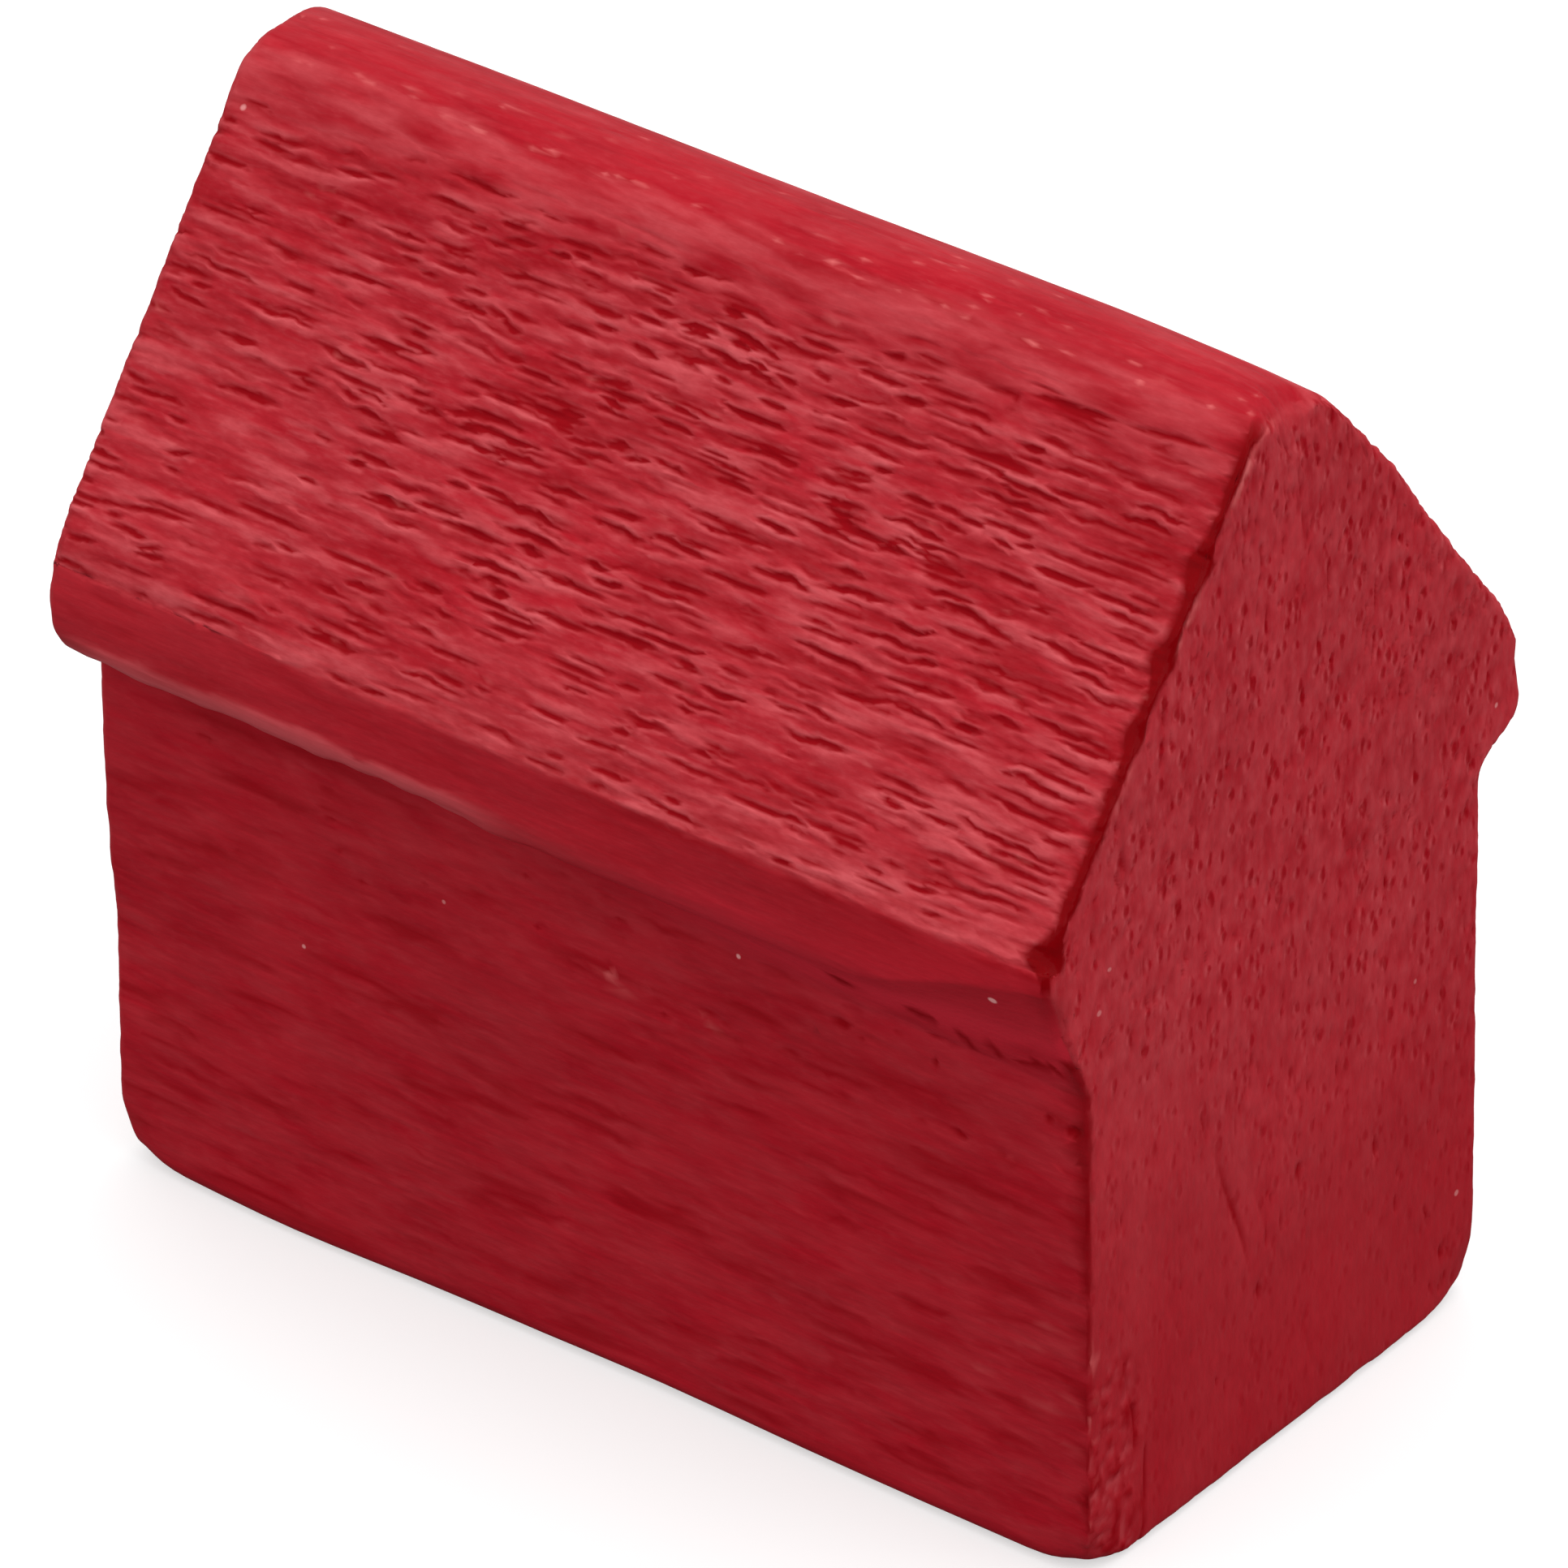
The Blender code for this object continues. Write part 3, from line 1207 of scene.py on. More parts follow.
    def close_gable(self, skin: bmesh.types.BMesh, rim: list[int], half: int, columns: int) -> None:
        """Extrude the front edge of a gable onto the back edge, cut it into columns and weld its ends.

        Args:
            skin: The open skin.
            rim: Indices of the points round the gable, from the middle of the base up the back and
                down the front.
            half: How many of them lie from the middle of the base to the ridge.
            columns: How many steps the base and the ridge have on each side of the middle.
        """
        base = rim[-columns:] + rim[:columns + 1]
        ridge = rim[half - 1 - columns:half + columns][::-1]
        skin.verts.ensure_lookup_table()
        front = [skin.verts[index] for index in rim[half - 1 + columns:len(rim) - columns + 1][::-1]]
        back = [skin.verts[index] for index in rim[columns:half - columns]]
        rail = [skin.edges.get(pair) for pair in zip(front, front[1:])]
        grown = set(bmesh.ops.extrude_edge_only(skin, edges=rail)["geom"])
        ends = []
        for point in front:
            others = [edge.other_vert(point) for edge in point.link_edges]
            ends.append(next(other for other in others if other in grown))
        bmesh.ops.weld_verts(skin, targetmap=dict(zip(ends, back)))
        high = np.array([point.co.z for point in back])
        wide = np.array([point.co.y for point in back])
        ridge_blend = 3.0
        base_blend = 2.0
        rise = ramp(high, high[-1] - ridge_blend, high[-1])
        sink = 1 - ramp(high, high[0], high[0] + base_blend)
        rungs = [skin.edges.get(pair) for pair in zip(front, back)]
        cut = bmesh.ops.subdivide_edges(skin, edges=rungs, cuts=2 * columns - 1)["geom_inner"]
        skin.verts.ensure_lookup_table()
        inside = skin.verts.layers.int["inside"]
        weld = {}
        for point in (item for item in cut if isinstance(item, bmesh.types.BMVert)):
            row = int(np.abs(high - point.co.z).argmin())
            column = round((point.co.y / wide[row] + 1) * columns)
            share = column / columns - 1
            low_end = skin.verts[base[column]]
            high_end = skin.verts[ridge[column]]
            point[inside] = 1
            point.co.y = wide[row] * share + rise[row] * (high_end.co.y - wide[-1] * share)
            point.co.z = (high[row] + rise[row] * (high_end.co.z - high[-1])
                          + sink[row] * (low_end.co.z - high[0]))
            if row in (0, len(high) - 1):
                weld[point] = low_end if row == 0 else high_end
        bmesh.ops.weld_verts(skin, targetmap=weld)

    def outline(self, climb: np.ndarray) -> np.ndarray:
        """Find places on the smooth profile.

        Args:
            climb: Signed distances along the profile.

        Returns:
            Points (y, z).
        """
        y = np.interp(np.abs(climb), self.climbs, self.half[:, 0])
        z = np.interp(np.abs(climb), self.climbs, self.half[:, 1])
        return np.stack([np.where(climb < 0, -y, y), z], axis=1)

    def outward(self, climb: np.ndarray) -> np.ndarray:
        """Find which way the smooth profile faces.

        Args:
            climb: Signed distances along the profile.

        Returns:
            Outward directions (y, z), of length 1.
        """
        y = np.interp(np.abs(climb), self.climbs, self.normals[:, 0])
        z = np.interp(np.abs(climb), self.climbs, self.normals[:, 1])
        unit = np.stack([np.where(climb < 0, -y, y), z], axis=1)
        return unit / np.linalg.norm(unit, axis=1)[:, None]

    def side_relief(self, x: np.ndarray, climb: np.ndarray) -> dict[str, np.ndarray]:
        """Shape and mark the skin that runs along the house.

        Args:
            x: Places along the house.
            climb: Signed distances along the profile.

        Returns:
            The height over the smooth profile, in millimetres, and the side marks.
        """
        parts = self.side_parts(x, climb)
        grain = self.side_grain(x, climb, parts)
        relief = self.side_marks(x, climb, parts, grain)
        relief["height"] = self.side_height(x, climb, parts, grain)
        return relief

    def side_parts(self, x: np.ndarray, climb: np.ndarray) -> SideParts:
        """Tell which part of the house each place of the side skin belongs to.

        Args:
            x: Places along the house.
            climb: Signed distances along the profile.

        Returns:
            The shares of the parts.
        """
        reach = np.abs(climb)
        spans = self.landmarks
        ragged = reach + 0.12 * rough_noise(x / 0.9, reach * 0.0, 17)
        ridge = ramp(ragged, *spans.ridge_edge)
        return SideParts(
            front=climb < 0,
            far=1 - ramp(x, -7.5, -2.5),
            base=1 - ramp(reach, *spans.base_edge),
            wall=stretch(reach, spans.wall_foot, spans.wall_top),
            nose=stretch(reach, spans.nose_foot, spans.nose_top),
            roof=stretch(reach, spans.roof_foot, spans.roof_top),
            smooth=ramp(reach, *spans.roof_top) * (1 - ridge),
            ridge=ridge,
        )

    def side_grain(self, x: np.ndarray, climb: np.ndarray, parts: SideParts) -> SideGrain:
        """Read the grain of the side skin.

        Args:
            x: Places along the house.
            climb: Signed distances along the profile.
            parts: The parts of the house there.

        Returns:
            The grain, weaker towards the far gable and near the roof's lower edge.
        """
        around = self.around(climb)
        reach = np.abs(climb)
        wander = 0.08 * smooth_noise(x / 2.3, around / 1.4, 11)
        wander += 0.040 * smooth_noise(x / 0.40, around / 0.30, 12)
        wander += 0.014 * smooth_noise(x / 0.14, around / 0.10, 10)
        line = around + wander
        strength = 0.66 + 0.34 * (1 - parts.far) * ramp(reach, 18.2, 20.5)
        strength = np.where(reach > 17.3, np.maximum(strength, 0.85 * ramp(x, 5.5, 8.0)), 1.0)
        strength = strength * np.where(parts.front, 1.0, 1 - 0.85 * ramp(x, 8.4, 9.4))
        beside = np.where(parts.front, 0.070, -0.070)
        below = strength * self.side_map.at(x, line - beside)
        above = strength * self.side_map.at(x, line + beside)
        streak = ramp(rough_noise(x / 1.7, line / 0.19, 16), 0.10, 0.75)
        return SideGrain(
            strength=strength,
            dashes=strength * self.side_map.at(x, line),
            lip=np.maximum(below, 0.7 * above),
            fibre=rough_noise(x / 0.95, line / 0.19, 13),
            strand=smooth_noise(x / 0.42, line / 0.11, 15),
            lines=rough_noise(x / 1.25, line / 0.16, 19, 2),
            swath=smooth_noise(x / 3.2, line / 0.5, 20),
            swell=smooth_noise(x / 5.0, around / 3.0, 14),
            streak=streak * (parts.wall + 0.6 * parts.nose),
            bead=self.eave_bead(x, reach) * parts.front,
            flecks=self.fleck_map.at(x, around),
        )

    def side_height(self, x: np.ndarray, climb: np.ndarray, parts: SideParts,
                    grain: SideGrain) -> np.ndarray:
        """Shape the side skin.

        Args:
            x: Places along the house.
            climb: Signed distances along the profile.
            parts: The parts of the house there.
            grain: The grain there.

        Returns:
            The height over the smooth profile, in millimetres.
        """
        reach = np.abs(climb)
        roof = parts.roof
        height = grain.fibre * (0.005 + 0.006 * roof) + (0.026 * grain.lines + 0.006 * grain.strand) * roof
        height += 0.014 * (grain.swell - 1)
        height *= 1 - 0.8 * parts.base
        height += (0.18 * grain.lip * roof + 0.02 * grain.bead + 0.012 * grain.flecks
                   - 0.006 * grain.streak - grain.dashes)
        # The roof's lower edge is blunt and crumbled.
        height -= 0.13 * np.where(parts.front, parts.far, 1.0) * bump(reach, 17.42, 0.45)
        height -= 0.035 * (0.8 + rough_noise(x / 0.4, reach / 0.15, 18)) * bump(reach, 17.43, 0.12)
        # Paint that bridges the hollow under the eave hides the grain.
        bridged = parts.front * self.bridging(x) * ramp(reach, 14.0, 14.4) * (1 - ramp(reach, 15.9, 16.9))
        height = (height + parts.front * self.eave_lip(x, reach)) * (1 - 0.9 * bridged)
        return height + self.bow(x, climb)

    def side_marks(self, x: np.ndarray, climb: np.ndarray, parts: SideParts,
                   grain: SideGrain) -> dict[str, np.ndarray]:
        """Mark the side skin for the paint.

        Args:
            x: Places along the house.
            climb: Signed distances along the profile.
            parts: The parts of the house there.
            grain: The grain there.

        Returns:
            The side marks.
        """
        reach = np.abs(climb)
        front = parts.front
        shade = self.eave_shade(x, reach) * front
        dark = ramp(-grain.lines, 0.10, 0.50)
        # Dashes of open grain are darkened both by paint that sank into them and as painted shade in their
        # hollows.
        groove_and_shade = np.maximum(ramp(grain.dashes, 0.007, 0.040), 0.70 * grain.streak)
        groove_and_shade = np.maximum(groove_and_shade, shade)
        groove_and_shade = np.maximum(groove_and_shade, dark * (0.55 * grain.strength * parts.roof + 0.40 * parts.smooth))
        # Painted shade over the front of the eave's nose, towards the near gable.
        groove_and_shade = np.maximum(groove_and_shade, 0.34 * front * parts.nose * ramp(x, 2.0, 8.0))

        light = np.clip(0.40 + 0.55 * grain.fibre + 0.35 * grain.strand, 0.0, 1.0)
        bright = ramp(grain.lines, 0.06, 0.50)
        lit_lips = ramp(grain.lip, 0.012, 0.042)
        # On the roof and the band under the ridge the pale pink is partly rubbed paint and partly a painted
        # sheen, with painted highlights on the lower lips of the dashes.
        rub_and_sheen = parts.roof * (0.09 + 0.14 * light + 0.44 * bright + 0.08 * grain.swath + 0.34 * lit_lips)
        rub_and_sheen += (parts.smooth * (0.28 + 0.24 * grain.fibre + 0.36 * grain.lines)
                + parts.ridge * (0.06 + 0.12 * grain.fibre + 0.16 * grain.lines))
        rub_and_sheen += parts.wall * 0.18 * light + parts.nose * (0.07 + 0.03 * parts.far)
        # The lower lip of the eave is pale. The roof's lower edge gets painted highlights, stronger near
        # the gable.
        rub_and_sheen += 0.15 * front * (1 - ramp(x, -1.0, 3.0)) * bump(reach, 16.02, 0.26)
        rub_and_sheen += 0.32 * front * ramp(x, 3.0, 7.5) * bump(reach, 17.85, 0.32)
        rub_and_sheen += 0.30 * bump(reach, 17.58, 0.18) * (0.4 + light) + 0.60 * grain.bead

        rising = self.rising(x)
        # Painted light: the paint bridge under the front eave faces down into shade, so it is painted a
        # brighter red as if lit from below.
        painted_uplight = (0.70 - 0.24 * ramp(x, 7.0, 9.0)) * front * ramp(x, 0.0, 5.0)
        painted_uplight *= bump(reach, 15.25 + 0.50 * rising, 0.95 + 0.45 * rising)
        opened = (0.30 * parts.roof + 0.10 * parts.wall + 0.20 * parts.smooth + 0.15 * parts.ridge
                  + 0.1 * parts.nose)
        return {"groove_and_shade": groove_and_shade, "rub_and_sheen": rub_and_sheen, "open": opened, "fleck_and_glint": grain.flecks, "painted_uplight": painted_uplight}

    @staticmethod
    def bridging(x: np.ndarray) -> np.ndarray:
        """How much of the hollow under the front eave is bridged by paint, from 0 to 1."""
        return ramp(x, -1.0, 6.0)

    @staticmethod
    def rising(x: np.ndarray) -> np.ndarray:
        """How far the bridge of paint has risen over the nose of the eave, from 0 to 1."""
        return ramp(x, 5.0, 9.9)

    @staticmethod
    def eave_bead(x: np.ndarray, reach: np.ndarray) -> np.ndarray:
        """The pale bead of dried paint along the lower lip of the front eave.

        Args:
            x: Places along the house.
            reach: Distances along the profile.

        Returns:
            How much of the bead lies there, from 0 to 1.
        """
        along = stretch(x, (-9.9, -8.8), (-2.0, -0.2))
        upper = 16.27 + 0.10 * bump(x, -4.8, 1.6) + (0.06 * wave(x, 0.9, 21) + 0.03 * wave(x, 0.35, 22))
        return along * ramp(reach, 15.4, 15.6) * (1 - ramp(reach - upper, -0.05, 0.05))

    @staticmethod
    def eave_shade(x: np.ndarray, reach: np.ndarray) -> np.ndarray:
        """Painted shadow: dark lines under the bead and under the roof's lower edge.

        Args:
            x: Places along the house.
            reach: Distances along the profile.

        Returns:
            How much of a line lies there, from 0 to 1.
        """
        along = stretch(x, (-8.6, -7.8), (-5.2, -3.4))
        sway = 0.06 * wave(x, 0.6, 24)
        lines = 0.8 * along * bump(reach, 14.40 + sway, 0.13)
        broken = ramp(wave(x, 0.8, 25), -0.6, 0.2) * ramp(x, -0.5, 2.0)
        return np.maximum(lines, 0.8 * broken * bump(reach, 17.30 + 0.5 * sway, 0.07))

    @staticmethod
    def eave_lip(x: np.ndarray, reach: np.ndarray) -> np.ndarray:
        """How far paint thickens the lower lip of the front eave, in drips towards the far gable.

        Args:
            x: Places along the house.
            reach: Distances along the profile.

        Returns:
            How far the skin lies out from the profile, in millimetres.
        """
        lip = 0.09 * ramp(x, -4.0, 0.0) * (1 - ramp(x, 7.5, 9.5)) * bump(reach, 15.65, 0.35)
        drip = rough_noise(x / 0.9, reach * 0.0, 26, 2) * ramp(x, -9.5, -8.5) * (1 - ramp(x, -2.0, 2.0))
        return lip + 0.08 * drip * bump(reach, 15.72, 0.25)

    def filled(self, x: np.ndarray, climb: np.ndarray) -> np.ndarray:
        """How paint bridges the hollow under the front eave, more and more towards the near gable.

        Args:
            x: Places along the house.
            climb: Signed distances along the profile.

        Returns:
            How far each place moves across and up, in millimetres.
        """
        start, corner, end = self.fill
        end = end + self.fill_rise * self.rising(x)
        share = np.clip((-climb - start) / (end - start), 0.0, 1.0)[:, None]
        low, hollow = self.outline(np.array([-start, -corner]))
        high = self.outline(-end)
        bridge = low + (high - low) * share
        bridge += 0.5 * share * (1 - share) * (hollow - (low + high) / 2)
        moved = (share > 0) & (share < 1)
        return np.where(moved, bridge - self.outline(climb), 0.0) * self.bridging(x)[:, None]

    @staticmethod
    def bow(x: np.ndarray, climb: np.ndarray) -> np.ndarray:
        """How far the strip bows out: the front wall at its foot and the back roof at the near end.

        Args:
            x: Places along the house.
            climb: Signed distances along the profile.

        Returns:
            How far the skin lies out from the profile, in millimetres.
        """
        foot = (0.10 * bump(x, -6.3, 2.4) - 0.05 * bump(x, 1.4, 2.2)) * bump(climb, -5.3, 0.7)
        slope = 0.08 * bump(climb, 23.2, 1.0) - 0.06 * bump(climb, 25.8, 0.8)
        return foot + ramp(x, 6.0, 9.5) * slope

    def gable_relief(self, end: np.ndarray, y: np.ndarray, z: np.ndarray) -> dict[str, np.ndarray]:
        """Shape and mark the end grain of both gables.

        Args:
            end: The sign of X for each place.
            y: Places across the gable.
            z: Heights.

        Returns:
            The height over the flat gable, in millimetres, and the side marks.
        """
        relief = {name: np.zeros(len(y)) for name in ("height", *SIDE_MARKS)}
        for gable in End:
            here = end == gable.value
            across = y[here]
            up = z[here]
            seed = 60 + gable.value
            near = gable is End.NEAR
            wander = 0.06 * smooth_noise(across / 0.9, up / 1.1, seed)
            dashes = self.gable_maps[gable].at(up, across + wander)
            fibre = rough_noise((across + wander) / 0.19, up / 0.34, seed + 3)
            swell = smooth_noise(across / 3.0, up / 3.0, seed + 6)
            band = smooth_noise((across + 0.3 * wander) / 0.55, up / 5.0, seed + 15)
            open_end = 0.25 + 0.75 * ramp(up + 0.4 * across, 3.0, 11.0)
            # Painted shade: the gable is painted darker towards its foot, next to the floor.
            low = 1 - ramp(up, 1.0, 9.0)
            # A strip at the foot of the near gable's front edge is torn, with a broken line beside it.
            torn = ramp(-across, 3.6, 4.2) * (1 - ramp(up, 3.0, 4.6)) * near
            crumbs = rough_noise(across / 0.17, up / 0.20, seed + 9, 2)
            brim = bump(-across - 0.15 * wave(up, 0.5, seed + 12), 3.80 + 0.08 * up, 0.05)
            brim *= (1 - ramp(up, 3.8, 4.6)) * near
            brim *= ramp(wave(up, 0.8, seed + 18), -0.3, 0.3)

            height = 0.016 * open_end * fibre + 0.008 * (swell - 1) - dashes
            height -= 0.035 * torn * (0.6 + crumbs) + 0.03 * brim
            groove_and_shade = 0.80 * ramp(dashes, 0.012, 0.045) + 0.6 * torn * ramp(-crumbs, 0.15, 0.55) + 0.32 * low
            groove_and_shade += 0.24 * open_end * ramp(-fibre, 0.10, 0.65) + 0.7 * brim
            # The gable's paleness is partly painted light, which makes this end lighter than the walls.
            rub_and_sheen = 0.23 + 0.14 * open_end * fibre + 0.05 * band - 0.08 * low
            rub_and_sheen += 0.45 * torn * ramp(crumbs, 0.15, 0.55)
            relief["height"][here] = height
            relief["groove_and_shade"][here] = groove_and_shade
            relief["rub_and_sheen"][here] = np.clip(rub_and_sheen, 0.0, 1.0)
            relief["open"][here] = 0.32 * open_end
        return relief

    def arris(self, end: np.ndarray, climb: np.ndarray) -> np.ndarray:
        """Radius of the rounded edge between a gable and the side skin.

        Args:
            end: The sign of X for each place.
            climb: Signed distances along the profile.

        Returns:
            The radius at each place, in millimetres.
        """
        around = self.around(climb)
        reach = np.abs(climb)
        rough = rough_noise(around / 0.5, end * 7.3, 31, 4)
        crisp = torn_edge(end, climb)
        wall_foot = 5.5
        wall_top = 14.8
        radius = np.where(end > 0, 0.22, 0.28) * (1 + 0.2 * rough)
        radius = np.where(crisp & (reach > wall_top), 0.10 * (1 + 0.35 * rough), radius)
        on_wall = crisp & (reach > wall_foot) & (reach < wall_top)
        radius = np.where(on_wall, 0.08 + 0.05 * np.clip(rough, -0.6, 1), radius)
        radius += crisp * 0.22 * bump(reach, 15.9, 1.10) + (end > 0) * 0.42 * ramp(reach, 26.0, 26.9)
        for chip in self.roof_chips:
            radius += crisp * chip.bite * bump(reach, chip.climb, chip.half_width)
        sharpest = 0.04
        return np.maximum(radius, sharpest)

    @staticmethod
    def torn(end: np.ndarray, climb: np.ndarray, room: np.ndarray) -> np.ndarray:
        """How far the saw tore away the lower lip of the front eave, next to the near gable.

        Args:
            end: The sign of X for each place.
            climb: Signed distances along the profile.
            room: Distances from the gable's edge.

        Returns:
            How far the skin lies in from the profile there, in millimetres.
        """
        fade = 1 - ramp(room, 0.0, 1.0)
        return 0.10 * bump(np.abs(climb), 16.9, 0.60) * fade * torn_edge(end, climb)

    def pooled(self, end: np.ndarray, climb: np.ndarray, room: np.ndarray, on_gable: bool) -> np.ndarray:
        """Where thick, dark, glossy paint stands along the near gable's front edge.

        Args:
            end: The sign of X for each place.
            climb: Signed distances along the profile.
            room: Distances from the edge.
            on_gable: Whether the places are on the gable or on the side skin.

        Returns:
            How much of the pool lies there, from 0 to 1.
        """
        reach = np.abs(climb)
        rough = rough_noise(reach / 0.42, end * 3.1, 37, 4)
        wide = 0.15 + 0.07 * rough + 0.03 * smooth_noise(reach / 0.11, end * 1.7, 38)
        for chip in self.roof_chips:
            wide = wide + chip.bite * bump(reach, chip.climb, chip.half_width)
        wide = np.maximum(wide * (0.9 if on_gable else 1.0), 0.06)
        span = stretch(reach, (16.7, 17.2), (26.2, 26.8))
        pool = (1 - ramp(room / wide, 0.80, 1.15)) * span

        # Blots along the wall's edge, which crowd towards the eave.
        patchy = rough_noise(reach / 0.60, end * 2.0, 39, 2)
        blots = rough_noise(reach / 0.24, room / 0.14 + end * 9.0, 40)
        lower = stretch(reach, (5.4, 6.0), (14.9, 15.3))
        blot_width = 0.10 if on_gable else 0.26
        crowd = 0.30 + 0.35 * ramp(reach, 9.5, 12.0) + 0.40 * bump(reach, 13.6, 0.8)
        crowd = crowd + 0.30 * patchy + 0.55 * blots
        pool = np.maximum(pool, 0.72 * lower * ramp(crowd - room / blot_width, -0.35, 0.30))

        # A thinner pool under the end of the eave.
        fade_span = (0.10, 1.00) if on_gable else (0.15, 0.55)
        pool = np.maximum(pool, 0.40 * bump(reach, 16.7, 0.60) * (1 - ramp(room, *fade_span)))
        return pool * torn_edge(end, climb)

    @staticmethod
    def rim_glints_and_crumbs(end: np.ndarray, climb: np.ndarray, room: np.ndarray) -> np.ndarray:
        """Painted highlights on the near gable beside the pooled paint, and pale crumbs along the torn wall
        edge.

        Args:
            end: The sign of X for each place.
            climb: Signed distances along the profile.
            room: Distances from the gable's edge.

        Returns:
            How much of a highlight or a crumb lies there, from 0 to 1.
        """
        reach = np.abs(climb)
        broken = 0.4 + ramp(smooth_noise(reach / 0.16, end * 5.0, 41), -0.3, 0.5)
        bright = bump(reach, 25.9, 0.75) + bump(reach, 23.4, 0.25) + 0.8 * bump(reach, 22.85, 0.12)
        bright = bright + 0.5 * bump(reach, 20.4, 0.5)
        lit_lips = broken * bright * bump(room, 0.21, 0.055)
        edge = stretch(reach, (5.4, 6.0), (14.5, 15.0)) * (1 - ramp(room, 0.16, 0.36))
        crumbs = 0.5 * edge * ramp(rough_noise(reach / 0.30, room / 0.18, 43), 0.30, 0.70)
        return np.clip(lit_lips + crumbs, 0.0, 1.0) * torn_edge(end, climb)

    def carve(self, mesh: bpy.types.Mesh) -> dict[str, np.ndarray]:
        """Carve the smooth skin.

        Args:
            mesh: The skin as it was extruded, in millimetres.

        Returns:
            The moved points under the name points, and the marks that the paint reads.
        """
        count = len(mesh.vertices)
        flat = np.empty(count * 3, np.float32)
        mesh.vertices.foreach_get("co", flat)
        points = flat.reshape(-1, 3).astype(float)
        inside = np.empty(count, np.int32)
        mesh.attributes["inside"].data.foreach_get("value", inside)
        marks = {name: np.zeros(count) for name in ALL_MARKS}
        sides = np.flatnonzero(inside == 0)
        self.carve_sides(points, sides, self.ring[self.rim_near(points[sides, 1:])[0]], marks)
        self.carve_gables(points, np.flatnonzero(inside == 1), marks)
        for corner in self.worn:
            toward = np.array(self.heart) - np.array(corner.place)
            toward /= np.linalg.norm(toward)
            far = np.linalg.norm(points - np.array(corner.place), axis=1)
            points += corner.push * np.exp(-((far / corner.reach) ** 2))[:, None] * toward
        low = np.array(CAD_BOX[0]) / MM
        high = np.array(CAD_BOX[1]) / MM
        marks["points"] = np.clip(points, low, high)
        return {name: np.round(values, self.digits) for name, values in marks.items()}

    def carve_sides(self, points: np.ndarray, here: np.ndarray, climb: np.ndarray,
                    marks: dict[str, np.ndarray]) -> None:
        """Carve the skin that runs along the house, up to the rims of the gables.

        Args:
            points: All points of the skin, moved in place.
            here: Which of them belong to the side skin.
            climb: Their signed distances along the profile.
            marks: The marks that the paint reads, filled in place.
        """
        x, y, z = points[here].T
        end = np.where(x < 0, -1.0, 1.0)
        room = self.length / 2 - np.abs(x)
        relief = self.side_relief(x, climb)
        rim = self.gable_relief(end, y, z)
        radius = self.arris(end, climb)
        part = np.clip(room / radius, 0.0, 1.0)
        turn = pi / 4 + pi / 4 * part
        slip = np.where(room < radius, radius * (1 - np.cos(turn)) - room, 0.0)
        inset = radius * (1 - np.sin(turn)) + self.torn(end, climb, room)
        points[here, 0] -= end * (slip - rim["height"] * (1 - part))
        lift = (relief["height"] - inset)[:, None]
        points[here, 1:] += self.outward(climb) * lift + self.filled(x, climb)
        for name in SIDE_MARKS:
            marks[name][here] = relief[name]
        marks["pool"][here] = self.pooled(end, climb, room, False)
        marks["gable"][here] = 0.5 * (1 - part)
        marks["girth"][here] = np.abs(climb) / self.top

    def carve_gables(self, points: np.ndarray, here: np.ndarray, marks: dict[str, np.ndarray]) -> None:
        """Carve the inside of both gables.

        Args:
            points: All points of the skin, moved in place.
            here: Which of them lie inside a gable.
            marks: The marks that the paint reads, filled in place.
        """
        x, y, z = points[here].T
        end = np.where(x < 0, -1.0, 1.0)
        near, room = self.rim_near(points[here, 1:])
        climb = self.ring[near]
        relief = self.gable_relief(end, y, z)
        side = self.side_relief(x, climb)
        radius = self.arris(end, climb)
        part = np.clip(room / radius, 0.0, 1.0)
        turn = pi / 4 * (1 - part)
        shift = np.where(room < radius, room - radius * (1 - np.sin(turn)), 0.0)
        shift += side["height"] * (1 - part) - self.torn(end, climb, room)
        points[here, 0] = end * (self.length / 2 + relief["height"] - radius * (1 - np.cos(turn)))
        points[here, 1:] += self.outward(climb) * shift[:, None]
        points[here, 1:] += self.filled(x, climb) * (1 - ramp(room, 0.0, 1.3))[:, None]
        for name in SIDE_MARKS:
            marks[name][here] = relief[name]
        # Painted highlights and pale crumbs along the near gable's edge.
        marks["fleck_and_glint"][here] = self.rim_glints_and_crumbs(end, climb, room)
        marks["pool"][here] = self.pooled(end, climb, room, True)
        marks["gable"][here] = 0.5 + 0.5 * part
        marks["girth"][here] = np.abs(climb) / self.top

    def rim_near(self, places: np.ndarray) -> tuple[np.ndarray, np.ndarray]:
        """Find the nearest point of the rim for places on a gable.

        Args:
            places: Points (y, z).

        Returns:
            The index of the rim's nearest point and the distance to the rim, for each place.
        """
        rim = self.outline(self.ring)
        tree = KDTree(len(rim))
        for index, (y, z) in enumerate(rim):
            tree.insert((y, z, 0.0), index)
        tree.balance()
        near = np.array([tree.find((y, z, 0.0))[1] for y, z in places])
        gap = rim[near] - places
        room = np.abs((gap * self.outward(self.ring[near])).sum(axis=1))
        return near, np.maximum(room, 0.7 * np.linalg.norm(gap, axis=1))

    def build(self) -> bpy.types.Object:
        """Model the skin, carve it, thin it out and paint it.

        Returns:
            The finished piece, in metres, with its marks, its unrolled map and its paint.
        """
        skin = self.skin()
        mesh = bpy.data.meshes.new("house")
        skin.to_mesh(mesh)
        skin.free()
